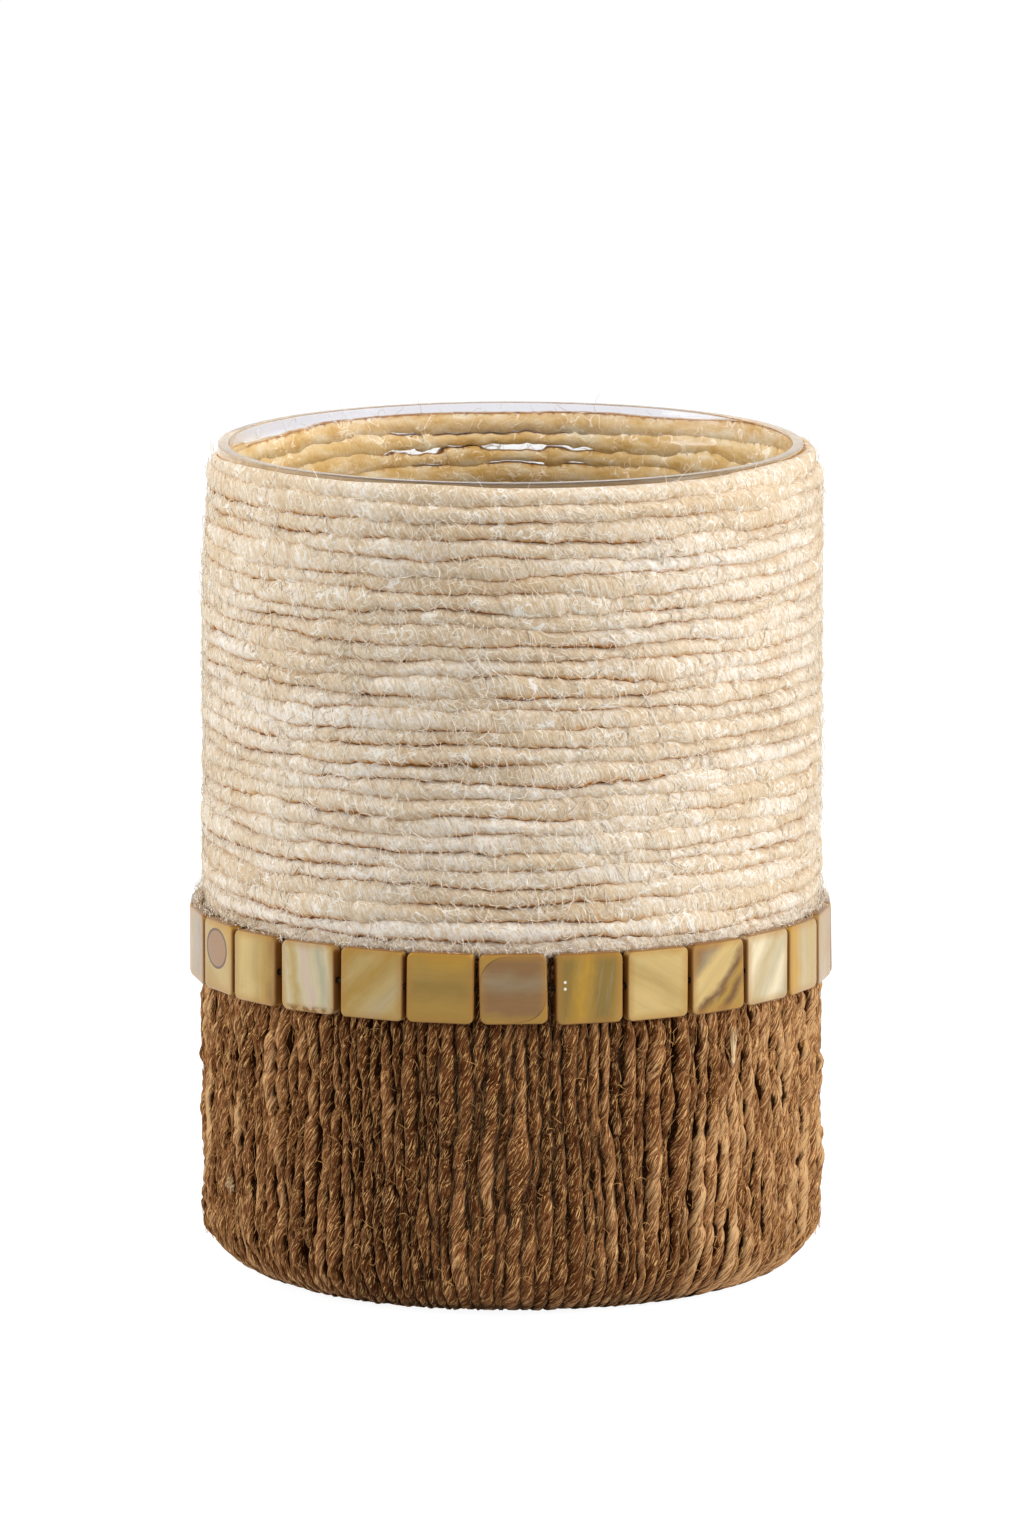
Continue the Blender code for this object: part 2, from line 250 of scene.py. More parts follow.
def add_yarn(
    name, piece, cuts, centre, outward, half_width, half_depth, power, tone, shade, gloom, low_side,
    lay_length, relief, seed,
):
    """A twisted yarn along the points of centre, as wide and deep as given at each of them.

    The power shapes its section: 1 is round, less is squarer. Its ridges stand out by relief and turn
    once in each lay_length. The depth in shade that its material reads grows from crest to sides, times
    shade plus gloom, and by low_side more on one side than on the other. The yarn is cut into several
    meshes at the points given, each closed at its ends. Piece is its look, its slot, which is not used,
    and its node.
    """
    steps = np.linalg.norm(np.diff(centre, axis=0), axis=1)
    along = np.concatenate([[0], np.cumsum(steps)])
    cosine, sine = np.cos(SECTION_ANGLES), np.sin(SECTION_ANGLES)
    squared = np.where(sine[None, :] < -0.01, GLUED_SIDE_POWER, power[:, None])
    wide = np.sign(cosine) * np.abs(cosine) ** squared
    deep = np.sign(sine) * np.abs(sine) ** squared
    turned = SECTION_ANGLES[None, :] - TAU * along[:, None] / lay_length
    ridges = ridges_round(turned, along, RIDGE_SPACING_SHARE * lay_length, seed)
    free = smooth_step(-0.1, 0.5, sine)[None, :]
    swell = 1 + relief * ridges * free + GLUED_SIDE_SWELL * (1 - free)
    half_width, half_depth = half_width[:, None], half_depth[:, None]
    points = tube_points(centre, outward, half_width * wide * swell, half_depth * deep * swell)
    radius = half_depth / MM * swell
    lay = np.stack([
        radius * np.cos(turned), radius * np.sin(turned), np.broadcast_to(along[:, None] / MM, turned.shape)
    ], axis=-1)
    # Depth of painted shade: more towards the sides, less on ridge crests, and by low_side more on the
    # lower side, as if lit from above
    depth = 0.5 - 0.5 * sine[None, :] + low_side * cosine[None, :] - RIDGE_SHADE * ridges
    seen_depth = depth * shade[:, None] + gloom[:, None]
    depth = np.clip(np.where(sine[None, :] > -0.01, seen_depth, depth), 0, 1)
    sides = len(SECTION_ANGLES)
    for number, (first, last) in enumerate(zip(cuts, cuts[1:]), 1):
        rings = slice(first, last + 1)
        body = points[rings].reshape(-1, 3)
        caps = np.concatenate([points[first], centre[first:first + 1], points[last], centre[last:last + 1]])
        start = len(body)
        ends = np.concatenate([
            fan(start, sides, start + sides, True),
            fan(start + sides + 1, sides, start + 2 * sides + 1, False),
        ])
        quads = ring_quads(last + 1 - first, sides)
        mesh = mesh_from_arrays(f"{name}_{number}", np.concatenate([body, caps]), quads, ends)
        cap_lay = np.concatenate([lay[first], lay[first, :1], lay[last], lay[last, :1]])
        set_values(mesh, "lay", np.concatenate([lay[rings].reshape(-1, 3), cap_lay]))
        set_values(mesh, "depth", np.concatenate([depth[rings].ravel(), np.full(len(caps), CUT_END_DEPTH)]))
        cap_tone = np.repeat([tone[first], tone[last]], sides + 1)
        set_values(mesh, "tone", np.concatenate([np.repeat(tone[rings], sides), cap_tone]))
        add_piece(mesh.name, mesh, *piece)


# Loose fibres

FIBRE_SIDES = 3
FIBRE_TIP_SHARE = 0.3
FIBRE_ARCH = 0.6 * math.pi


def add_fibres(
    name, piece, random, joints, angle, level, reach, heading, length, bend, lift, thickness, wall_radius,
    longer=1, curlier=1, least_tone=0,
):
    """Loose fibres that start on a round wall and lie along it, lifting off it towards their tips.

    Each fibre has the same number of joints and starts at an angle, a level and a distance from the
    wall. It sets off at a heading measured from level and bends as it goes. Its length and thickness
    are drawn between the two given, its bend and lift from spreads, and its shade from least_tone up.
    Piece is the look, the slot, which is not used, and the node of them all.
    """
    count = len(angle)
    length = random.uniform(*length, count) * longer
    bend = random.normal(0, bend, count) * curlier
    lift = np.abs(random.normal(0, lift, count))
    thickness = random.uniform(*thickness, count)
    tone = random.uniform(least_tone, 1, count)
    share = np.linspace(0, 1, joints)[None, :]
    course = heading[:, None] + bend[:, None] * share
    step = (length / (joints - 1))[:, None]
    level = level[:, None] + np.cumsum(step * np.sin(course), axis=1)
    angle = angle[:, None] + np.cumsum(step * np.cos(course), axis=1) / wall_radius
    out = wall_radius + reach[:, None] + lift[:, None] * np.sin(share * FIBRE_ARCH)
    round_angles = TAU * np.arange(FIBRE_SIDES) / FIBRE_SIDES
    taper = (thickness[:, None] / 2 * (1 - (1 - FIBRE_TIP_SHARE) * share ** 2))[..., None]
    wide, deep = taper * np.cos(round_angles), taper * np.sin(round_angles)
    points = tube_points(around(out, angle, level), around(1, angle, 0), wide, deep)
    per_fibre = joints * FIBRE_SIDES
    shift = (np.arange(count) * per_fibre)[:, None, None]
    quads = (ring_quads(joints, FIBRE_SIDES)[None] + shift).reshape(-1, 4)
    tips = np.array([[0, 2, 1], [per_fibre - 3, per_fibre - 2, per_fibre - 1]])
    triangles = (tips[None] + shift).reshape(-1, 3)
    mesh = mesh_from_arrays(name, points.reshape(-1, 3), quads, triangles)
    set_values(mesh, "tone", np.repeat(tone, per_fibre))
    add_piece(mesh.name, mesh, *piece)


# Shader nodes

class Shader:
    """A material or the world being built: short names for the nodes that are used here."""

    def __init__(self, owner, surface="Principled BSDF"):
        owner.use_nodes = True
        self.owner = owner
        self.tree = owner.node_tree
        self.surface = self.tree.nodes[surface]

    def node(self, kind, **settings):
        made = self.tree.nodes.new(kind)
        for key, value in settings.items():
            setattr(made, key, value)
        return made

    def put(self, socket, value):
        """Links a socket to another, or gives it a plain value."""
        if isinstance(value, bpy.types.NodeSocket):
            self.tree.links.new(value, socket)
        else:
            socket.default_value = value

    def fill(self, made, **values):
        """Gives a node's inputs their values; an underscore in a name stands for a space."""
        for name, value in values.items():
            self.put(made.inputs[name.replace("_", " ")], value)
        return made

    def set(self, **values):
        self.fill(self.surface, **values)

    def attribute(self, name, output="Fac"):
        return self.node("ShaderNodeAttribute", attribute_name=name).outputs[output]

    def object_place(self):
        return self.node("ShaderNodeTexCoord").outputs["Object"]

    def place(self, source, scale=(1, 1, 1), turn=(0, 0, 0), shift=(0, 0, 0)):
        made = self.node("ShaderNodeMapping")
        return self.fill(made, Vector=source, Scale=scale, Rotation=turn, Location=shift).outputs["Vector"]

    def noise(self, vector, scale=1, shift=(0, 0, 0), detail=2.0, roughness=0.5, distortion=0.0):
        """Noise at a vector times a scale, which is one number or three, plus a shift."""
        scale = scale if isinstance(scale, tuple) else (scale, scale, scale)
        made = self.fill(self.node("ShaderNodeTexNoise"), Vector=self.place(vector, scale, shift=shift))
        self.fill(made, Scale=1.0, Detail=detail, Roughness=roughness, Distortion=distortion)
        return made.outputs["Fac"]

    def maths(self, operation, first, second=0.0, third=0.0, clamp=False):
        made = self.node("ShaderNodeMath", operation=operation, use_clamp=clamp)
        for socket, value in zip(made.inputs, (first, second, third)):
            self.put(socket, value)
        return made.outputs["Value"]

    def span(self, value, low, high, to_low=0.0, to_high=1.0, smooth=False):
        """Stretches the span from low to high to a new one, and holds it there."""
        made = self.node("ShaderNodeMapRange", interpolation_type="SMOOTHSTEP" if smooth else "LINEAR")
        self.fill(made, Value=value, From_Min=low, From_Max=high, To_Min=to_low, To_Max=to_high)
        return made.outputs["Result"]

    def on_line(self, value, level, core, edge, strength=1, smooth=True):
        """The strength where a value is within core of a level, and 0 from edge away from it."""
        off = self.maths("ABSOLUTE", self.maths("SUBTRACT", value, level))
        return self.span(off, core, edge, strength, 0, smooth)

    def ramp(self, value, *stops):
        """Blends colours, each given with its position."""
        made = self.fill(self.node("ShaderNodeValToRGB"), Fac=value)
        elements = made.color_ramp.elements
        while len(elements) < len(stops):
            elements.new(0.5)
        for element, (position, colour) in zip(elements, stops):
            element.position = position
            element.color = (*colour, 1)
        return made.outputs["Color"]

    def mix(self, share, first, second, blend="MIX"):
        made = self.node("ShaderNodeMix", data_type="RGBA", blend_type=blend)
        self.put(made.inputs["Factor"], share)
        for socket, value in ((made.inputs[6], first), (made.inputs[7], second)):
            self.put(socket, (*value, 1) if isinstance(value, tuple) else value)
        return made.outputs[2]

    def apart(self, vector):
        """The X, Y and Z of a vector."""
        return self.fill(self.node("ShaderNodeSeparateXYZ"), Vector=vector).outputs[:]

    def distance(self, vector, centre):
        made = self.node("ShaderNodeVectorMath", operation="DISTANCE")
        self.put(made.inputs[0], vector)
        made.inputs[1].default_value = centre
        return made.outputs["Value"]

    def bump(self, height, distance, strength=1.0, under=None):
        made = self.fill(self.node("ShaderNodeBump"), Strength=strength, Distance=distance, Height=height)
        if under:
            self.put(made.inputs["Normal"], under)
        return made.outputs["Normal"]


# Depths in shade at which the side of a yarn that is turned to the glass begins and is reached
HIDDEN_SPAN = (0.58, 0.72)
# Where the middle shade of a yarn lies on its ramp, and how much its fibres, tufts and tone move it
MIDDLE_SHADE = 0.87
FIBRE_SHARE = 0.75
TUFT_SHARE = 0.34
TONE_SHARE = 0.14
PATCH_SHARE = 0.2
BLEND_BASE = 0.155


def loose_curls(s, place, colour, curl_colour, strength):
    """Bright curled fibres that lie over the yarns in patches, fainter on the side towards the glass."""
    for shift in ((0, 0, 0), (5, 8, 2)):
        curls = s.noise(place, (380, 380, 460), shift, detail=1.5, distortion=1.1)
        line = s.on_line(curls, 0.5, 0.008, 0.019, strength, smooth=False)
        here = s.span(s.noise(place, 330, shift[::-1]), 0.5, 0.56)
        outside = s.span(s.attribute("depth"), 0.5, 0.62, 1, 0.5)
        colour = s.mix(s.maths("MULTIPLY", s.maths("MULTIPLY", line, here), outside), colour, curl_colour)
    return colour


def cord_material(
    name, shades, contrast, halo, halo_span, grooves, groove_span, ragged, inner, glint, glint_level,
    fibres_a_mm, slender, curl, speckled, relief, loose=0.0, sheen=0.0, sheen_tint=(1, 1, 1),
):
    """Slubby jute yarn: fibres along its lay, painted shade deeper between the yarns, and bright fibres on
    it.

    The shades run from dark to light, apart by contrast. The halo is painted shade on the yarns' flanks,
    and the grooves are painted shade in the creases between them; both begin at their spans of depth, and
    ragged is how unevenly. Inner shades show through the glass. Glints are stray fibres above their level
    with painted highlights, and loose is how clearly others curl over it. Fibres have a number to a
    millimetre, a slenderness, a curl, and a share of speckles in their place.
    """
    s = Shader(bpy.data.materials.new(name))
    lay = s.attribute("lay", "Vector")
    place = s.object_place()
    scale = (fibres_a_mm, fibres_a_mm, slender * fibres_a_mm)
    fibre = s.noise(lay, scale, detail=3, roughness=0.65, distortion=curl)
    tuft = s.noise(lay, (2.2, 2.2, 5 * slender), (7, 3, 0), distortion=0.9)
    patch = s.noise(place, 110, detail=3)
    speckle = s.noise(place, 1900, (2, 6, 1), detail=3, roughness=0.7)
    blend = s.maths("MULTIPLY_ADD", fibre, FIBRE_SHARE - speckled, BLEND_BASE)
    for value, share in (
        (tuft, TUFT_SHARE), (speckle, speckled), (s.attribute("tone"), TONE_SHARE), (patch, PATCH_SHARE)
    ):
        blend = s.maths("MULTIPLY_ADD", value, share, blend)
    stops = [(MIDDLE_SHADE + (k - 1) * contrast, shade) for k, shade in enumerate(shades)]
    colour = s.ramp(blend, *stops)
    uneven = s.noise(place, 300, detail=5, roughness=0.7)
    depth = s.maths("MULTIPLY_ADD", s.maths("SUBTRACT", uneven, 0.5), ragged, s.attribute("depth"))
    # Painted shade: the halo colour darkens the flanks that lead into the grooves
    colour = s.mix(s.span(depth, *halo_span, 0.0, 0.7, smooth=True), colour, halo)
    # Painted highlights: stray fibres above the glint level take the glint colour
    stray = s.noise(lay, (7, 7, 0.8), (0, 11, 5), detail=1, distortion=0.5)
    shown = s.span(stray, glint_level, glint_level + 0.05, 0.0, 0.85, smooth=True)
    colour = s.mix(shown, colour, glint)
    # Painted shade: dark dashes in the creases between the yarns
    dashes = s.noise(place, 900, (3, 1, 4))
    groove = s.ramp(dashes, (0.42, grooves[0]), (0.6, grooves[1]))
    colour = s.mix(s.span(depth, *groove_span, 0.0, 0.95, smooth=True), colour, groove)
    streaks = s.noise(place, (240, 240, 620), (0, 4, 9), detail=4, roughness=0.6)
    mottle = s.maths("MULTIPLY_ADD", uneven, 0.3, s.maths("MULTIPLY", streaks, 1.1))
    hidden = s.ramp(mottle, (0.52, inner[0]), (0.7, inner[1]), (0.88, inner[2]))
    colour = s.mix(s.span(s.attribute("depth"), *HIDDEN_SPAN, smooth=True), colour, hidden)
    if loose:
        colour = loose_curls(s, place, colour, glint, loose)
    grain = s.maths("MULTIPLY", fibre, 1 - speckled)
    grain = s.maths("MULTIPLY_ADD", speckle, 2 * speckled, grain)
    s.set(
        Base_Color=colour,
        Roughness=s.span(fibre, 0.3, 0.7, 0.95, 0.75),
        Sheen_Weight=sheen,
        Sheen_Roughness=0.32,
        Sheen_Tint=(*sheen_tint, 1),
        Specular_IOR_Level=0.0,
        Normal=s.bump(grain, relief, under=s.bump(tuft, 1.5 * relief)),
    )
    return s.owner


def fibre_material(name, dark, light):
    """Loose fibres, each of one shade between two, a little uneven along it."""
    s = Shader(bpy.data.materials.new(name))
    uneven = s.noise(s.object_place(), 900, detail=1)
    shade = s.maths("MULTIPLY_ADD", uneven, 0.4, s.attribute("tone"))
    s.set(Base_Color=s.ramp(shade, (0.15, dark), (1.1, light)), Roughness=0.6, Specular_IOR_Level=0.2)
    return s.owner


# Cream cord: about 27 turns wound round the upper glass, level at the front, climbing across the back

CREAM_TURNS_SHOWN = 27
CREAM_POINTS_PER_TURN = 560
CREAM_START_ANGLE = math.radians(110)
CREAM_CLIMB_SHARE = 140 / 360
CREAM_OUTER_RADIUS = 37.35 * MM
CREAM_LOWEST = TILE_TOP - 0.75 * MM
CREAM_PIECES = 3
CREAM_BEDDED = 0.08 * MM
CREAM_FIRST_RISE = 0.3
CREAM_LAY_LENGTH = 4.6 * MM
CREAM_RELIEF = 0.08
# How much more painted shade the lower side of each turn takes, as if the light fell from above
CREAM_LOW_SIDE = 0.28
# How the edges between turns wander: strengths as shares of the pitch, with their spacings and seeds
CREAM_EDGE_WANDER = ((0.16, 9 * MM, 100), (0.08, 2.6 * MM, 150), (0.07, 0.95 * MM, 170))


def cream_reach(angle, level):
    """How far out the cream cord reaches: rounded in towards the rim, and drawn in a little on the left."""
    left, right = smooth_step(0.25, 1, -np.sin(angle)), smooth_step(0.25, 1, np.sin(angle))
    from_rim = (RIM_LEVEL - level) / MM
    shoulder = (0.55 + 0.5 * right) * (1 - smooth_step(0.8, 3.6, from_rim))
    taper = left * (0.36 + 0.7 * (1 - smooth_step(6, 15, from_rim)))
    return CREAM_OUTER_RADIUS - (shoulder + taper) * MM


def cream_layout():
    """For each point of the cream cord: its angle, level, half width and place in turns.

    The lower edge of the first turn climbs less than the rest, so that it stays behind the tiles.
    """
    per_turn = CREAM_POINTS_PER_TURN
    last_turn = round((1 - CREAM_CLIMB_SHARE) * per_turn)
    count = (CREAM_TURNS_SHOWN - 1) * per_turn + last_turn + 1
    edge_number = np.arange(CREAM_TURNS_SHOWN + 1)[:, None]
    part = np.arange(per_turn)[None, :] / per_turn
    wound = edge_number + part
    own = wander_in_sizes(wound * TAU * CREAM_OUTER_RADIUS, *CREAM_EDGE_WANDER)
    shared = 0.24 * wander_round(part, wound, 9, 4.3, 7)
    from_end = np.minimum(wound, CREAM_TURNS_SHOWN - wound)
    uneven = own * smooth_step(0, 1, from_end) + shared * smooth_step(0, 3, from_end)
    rise = 0.5 * smooth_step(1 - CREAM_CLIMB_SHARE, 0.75, part) + 0.5 * smooth_step(0.87, 1, part)
    rise = np.where(edge_number == 0, np.minimum(rise, CREAM_FIRST_RISE), rise)
    pitch = (CREAM_TOP - CREAM_LOWEST) / CREAM_TURNS_SHOWN
    level = CREAM_LOWEST + pitch * (edge_number + rise + uneven)
    low, high = level[:-1].ravel()[:count], level[1:].ravel()[:count]
    turns = wound[:-1].ravel()[:count]
    return CREAM_START_ANGLE - TAU * turns, (low + high) / 2, (high - low) / 2, turns


def open_gaps(angle, level):
    """Where the turns lie loose, behind near the rim, and where along them they are thin there."""
    behind = 1 - smooth_step(0.32, 0.44, np.abs(np.arctan2(np.sin(angle), -np.cos(angle)) + 0.09))
    from_rim = (RIM_LEVEL - level) / MM
    rows = smooth_step(3.4, 4.2, from_rim) * (1 - smooth_step(8.2, 9, from_rim))
    patches = smooth_step(-0.65, -0.2, wander(np.arange(len(angle)), 8, 26))
    return behind * rows, patches


def cream_cuts(last_point):
    """The points between the pieces of the cream cord, behind the holder, with its two ends."""
    behind = round((CREAM_START_ANGLE + math.pi) / TAU * CREAM_POINTS_PER_TURN)
    turns = [CREAM_TURNS_SHOWN * piece // CREAM_PIECES for piece in range(1, CREAM_PIECES)]
    return [0, *[turn * CREAM_POINTS_PER_TURN + behind for turn in turns], last_point]


def make_cream_cord(look):
    """The wound cream yarn: slubs, fluffy stretches, thin loose turns behind, tapered at its upper end."""
    angle, level, half_width, turns = cream_layout()
    loose, patches = open_gaps(angle, level)
    thin = loose * patches * (1 + 0.22 * smooth_step(5 * MM, 7 * MM, RIM_LEVEL - level))
    fluffy = smooth_step(-0.5, 0.8, wander(turns, 0.05, 6)) * (1 - loose)
    mean_depth = (cream_reach(angle, level) - GLASS_RADIUS + CREAM_BEDDED) / 2
    relative = half_width / half_width.mean()
    uneven = wander_in_sizes(turns, (0.06, 0.03, 8), (0.05, 0.011, 18))
    half_depth = mean_depth * (0.76 + 0.24 * relative + uneven) * (1 - 0.2 * thin)
    tucked = smooth_step(TILE_TOP + 1.4 * MM, TILE_TOP - 0.2 * MM, level)
    half_depth = half_depth * (1 - 0.17 * tucked)
    half_width = half_width * (1.0 + 0.26 * fluffy) * (1 - 0.38 * thin)
    radius = GLASS_RADIUS - CREAM_BEDDED + half_depth
    ending = smooth_step(0, 0.16, turns[-1] - turns)
    level = level - half_width * 0.65 * (1 - ending)
    half_width = half_width * (0.35 + 0.65 * ending)
    at_top = smooth_step(CREAM_TOP - 2.2 * MM, CREAM_TOP - 1.2 * MM, level)
    power = 1.0 - 0.35 * fluffy * (1 - at_top)
    # Painted shade between the turns: less where they merge, on the top turn lit from above, and on the
    # right, where painted light fills the grooves; gloom varies it at random
    merged = smooth_step(0.05, 0.5, wander(turns, 0.035, 12))
    shade = (1 - 0.6 * merged) * (1 - 0.7 * at_top) * (1 - 0.35 * smooth_step(0.3, 0.9, np.sin(angle)))
    gloom = 0.1 * wander(turns, 0.09, 13) * (1 - at_top) - 0.04
    tone = 0.5 + wander_in_sizes(turns, (0.35, 0.06, 9), (0.25, 0.7, 10))
    add_yarn(
        "cream_cord", (look, "cream_cord", "cream_cord_winding"), cream_cuts(len(angle) - 1),
        around(radius, angle, level), around(1, angle, 0), half_width, half_depth, power, tone, shade,
        gloom, CREAM_LOW_SIDE, CREAM_LAY_LENGTH, CREAM_RELIEF, seed=40,
    )


CREAM_FUZZ_PIECES = 3
CREAM_FIBRES_A_PIECE = 3900
CREAM_HEM_FIBRES = 2200
CREAM_FIBRE_THICKNESS = (0.06 * MM, 0.12 * MM)


def make_cream_fuzz(look):
    """Loose fibres all over the cream cord, most across its turns, some of them long and curled."""
    count = CREAM_FIBRES_A_PIECE
    for number in range(1, CREAM_FUZZ_PIECES + 1):
        random = np.random.default_rng(76 + number)
        curly = random.uniform(0, 1, count) < 0.3
        angle = random.uniform(0, TAU, count)
        level = random.uniform(TILE_TOP + 0.5 * MM, CREAM_TOP - 0.8 * MM, count)
        drawn_in = CREAM_OUTER_RADIUS - cream_reach(angle, level)
        add_fibres(
            f"cream_fuzz_{number}",
            (look, "cream_cord", "cream_cord_winding"),
            random,
            joints=7,
            angle=angle,
            level=level,
            reach=random.uniform(-0.2, 0.04, count) * MM - drawn_in,
            heading=random.choice([1, -1], count, p=[0.3, 0.7]) * np.radians(random.normal(60, 34, count)),
            length=(0.8 * MM, 2.3 * MM),
            bend=0.7,
            lift=0.2 * MM,
            thickness=CREAM_FIBRE_THICKNESS,
            wall_radius=CREAM_OUTER_RADIUS,
            longer=np.where(curly, 1.9, 1),
            curlier=np.where(curly, 5, 1),
        )


def make_cream_hem(look):
    """Fuzz of the lowest turn, which hangs over the upper edges of the tiles."""
    random = np.random.default_rng(83)
    count = CREAM_HEM_FIBRES
    add_fibres(
        "cream_hem",
        (look, "cream_cord", "cream_cord_winding"),
        random,
        joints=5,
        angle=random.uniform(0, TAU, count),
        level=TILE_TOP + random.uniform(0.1, 0.9, count) * MM,
        reach=random.uniform(-0.4, 0.95, count) * MM,
        heading=random.uniform(-math.pi, math.pi, count),
        length=(0.4 * MM, 1.3 * MM),
        bend=1.2,
        lift=0.12 * MM,
        thickness=CREAM_FIBRE_THICKNESS,
        wall_radius=CREAM_OUTER_RADIUS,
    )


# Brown cord: about 148 runs laid up and down round the lower glass and turned under its heel

BROWN_RUNS = 148
BROWN_TOP = TILE_TOP - 1.8 * MM
BROWN_STEP = 0.45 * MM
BROWN_OUTER_RADIUS = 37.25 * MM
BROWN_PRESSED_RADIUS = 36.75 * MM
BROWN_HEEL_RADIUS = 6.5 * MM
BROWN_FOOT_REACH = 1.4 * MM
BROWN_PIECES = 3
BROWN_BEDDED = 0.12 * MM
BROWN_DRAWN_IN = 0.36 * MM
BROWN_LAY_LENGTH = 12 * MM
BROWN_RELIEF = 0.18
BROWN_TURN_POINTS = 5
INNER_HEEL_RADIUS = BROWN_HEEL_RADIUS - (BROWN_OUTER_RADIUS - GLASS_RADIUS) / 2
HEEL_ARC = BROWN_HEEL_RADIUS * math.pi / 2


def brown_drawn_in(angle):
    """How much further in than elsewhere the brown cord's face lies on the left."""
    return BROWN_DRAWN_IN * smooth_step(0.5, 1, -np.sin(angle))


def brown_line(distance):
    """Radius and level of the glass side of the brown cord down a run, and how its outside faces."""
    heel_level = GLASS_BASE + INNER_HEEL_RADIUS
    straight = BROWN_TOP - heel_level
    bend = np.clip((distance - straight) / HEEL_ARC, 0, 1) * math.pi / 2
    past = np.maximum(distance - straight - HEEL_ARC, 0)
    radius = GLASS_RADIUS - INNER_HEEL_RADIUS * (1 - np.cos(bend)) - past
    rounded = heel_level - INNER_HEEL_RADIUS * np.sin(bend)
    level = np.where(distance < straight, BROWN_TOP - distance, rounded)
    return radius, level, np.cos(bend), -np.sin(bend)


def brown_edges(distances):
    """The angles of the edges between the runs, at each distance down."""
    edges = np.empty((BROWN_RUNS + 1, len(distances)))
    for edge in range(BROWN_RUNS):
        fixed = np.random.default_rng(900 + edge).uniform(-0.14, 0.14)
        wandering = wander_in_sizes(distances, (0.2, 8 * MM, 1000 + edge), (0.13, 2.4 * MM, 2000 + edge))
        edges[edge] = edge + fixed + wandering
    edges[BROWN_RUNS] = edges[0] + BROWN_RUNS
    shared = 0.35 * np.sin(TAU * edges / BROWN_RUNS * 9 + 2.2 * wander(distances, 14 * MM, 5)[None, :])
    return (edges + shared) * TAU / BROWN_RUNS


def brown_path():
    """Angle, distance down, width as an angle and run number of each point of the brown cord."""
    length = BROWN_TOP - GLASS_BASE - INNER_HEEL_RADIUS + HEEL_ARC + BROWN_FOOT_REACH
    turn = math.pi * BROWN_OUTER_RADIUS / BROWN_RUNS
    distances = np.arange(turn, length - turn, BROWN_STEP)
    edges = brown_edges(distances)
    middles, widths = (edges[1:] + edges[:-1]) / 2, edges[1:] - edges[:-1]
    parts = []
    for run in range(BROWN_RUNS):
        down = run % 2 == 0
        order = slice(None) if down else slice(None, None, -1)
        number = np.full(len(distances), run)
        parts.append((middles[run][order], distances[order], widths[run][order], number))
        if run == BROWN_RUNS - 1:
            break
        end = -1 if down else 0
        start, finish = middles[run][end], middles[run + 1][end]
        bend = math.pi * np.arange(1, BROWN_TURN_POINTS + 1) / (BROWN_TURN_POINTS + 1)
        away = turn * np.sin(bend) * (1 if down else -1)
        width = np.full(BROWN_TURN_POINTS, (widths[run][end] + widths[run + 1][end]) / 2)
        angle = (start + finish) / 2 - (finish - start) / 2 * np.cos(bend)
        parts.append((angle, distances[end] + away, width, np.full(BROWN_TURN_POINTS, run)))
    return [np.concatenate(column) for column in zip(*parts)], len(distances) + BROWN_TURN_POINTS


def make_brown_cord(look):
    """The laid brown yarn: uneven runs, pressed in under the tiles, with painted light on its two sides and
    painted shade under its foot.
    """
    (angle, distance, width, run_number), points_per_run = brown_path()
    radius, level, out_share, up_share = brown_line(distance)
    step_number = np.arange(len(angle))
    relative = width * BROWN_RUNS / TAU
    pressed = smooth_step(TILE_BOTTOM - 1.4 * MM, TILE_BOTTOM - 0.1 * MM, level)
    outer = BROWN_OUTER_RADIUS + (BROWN_PRESSED_RADIUS - BROWN_OUTER_RADIUS) * pressed
    outer = outer - brown_drawn_in(angle)
    mean_depth = (outer - GLASS_RADIUS + BROWN_BEDDED) / 2
    under = smooth_step(0.2, 0.9, -up_share)
    free = (1 - under) * (1 - pressed)
    proud = 0.5 * (relative - 1) + wander_in_sizes(step_number, (0.15, 6, 31), (0.1, 2.2, 34))
    half_depth = mean_depth * (1 + proud * free)
    half_depth = np.minimum(half_depth, (GLASS_BASE + BROWN_BEDDED) / 2 * (1 + 4 * (1 - under)))
    half_width = width * radius / 2 * (1.06 + 0.06 * wander(step_number, 14, 32) + 0.12 * under)
    outward = around(out_share, angle, up_share)
    centre = around(radius, angle, level) + outward * (half_depth - BROWN_BEDDED)[:, None]
    run_tone = np.random.default_rng(55).uniform(-0.5, 0.5, BROWN_RUNS)
    # Painted light: both sides are paler in tone and less shaded in their grooves, as if the lamps lit them
    # more
    painted_side_light = smooth_step(0.15, 0.9, np.sin(angle)) + 0.75 * smooth_step(0.45, 0.95, -np.sin(angle))
    tone = 0.3 + 0.5 * wander(step_number, 18, 33) + 0.65 * run_tone[run_number] + 0.9 * painted_side_light
    cuts = [BROWN_RUNS * piece // BROWN_PIECES * points_per_run for piece in range(BROWN_PIECES)]
    cuts.append(len(angle) - 1)
    power = 0.95 - 0.4 * under
    shade = (1 + 0.25 * wander(step_number, 9, 35)) * (1 - 0.12 * painted_side_light)
    # Painted shade: random, lighter on the sides, and dark where the yarn faces down under the foot
    gloom = 0.1 * wander(step_number, 5, 36) - 0.05 * painted_side_light + 0.45 * smooth_step(0.75, 1, -up_share)
    add_yarn(
        "brown_cord", (look, "brown_cord", "brown_cord_sleeve"), cuts, centre, outward, half_width,
        half_depth, power, tone, shade, gloom, 0.0, BROWN_LAY_LENGTH, BROWN_RELIEF, seed=60,
    )


BROWN_FUZZ_PIECES = 2
BROWN_FIBRES_A_PIECE = 3600


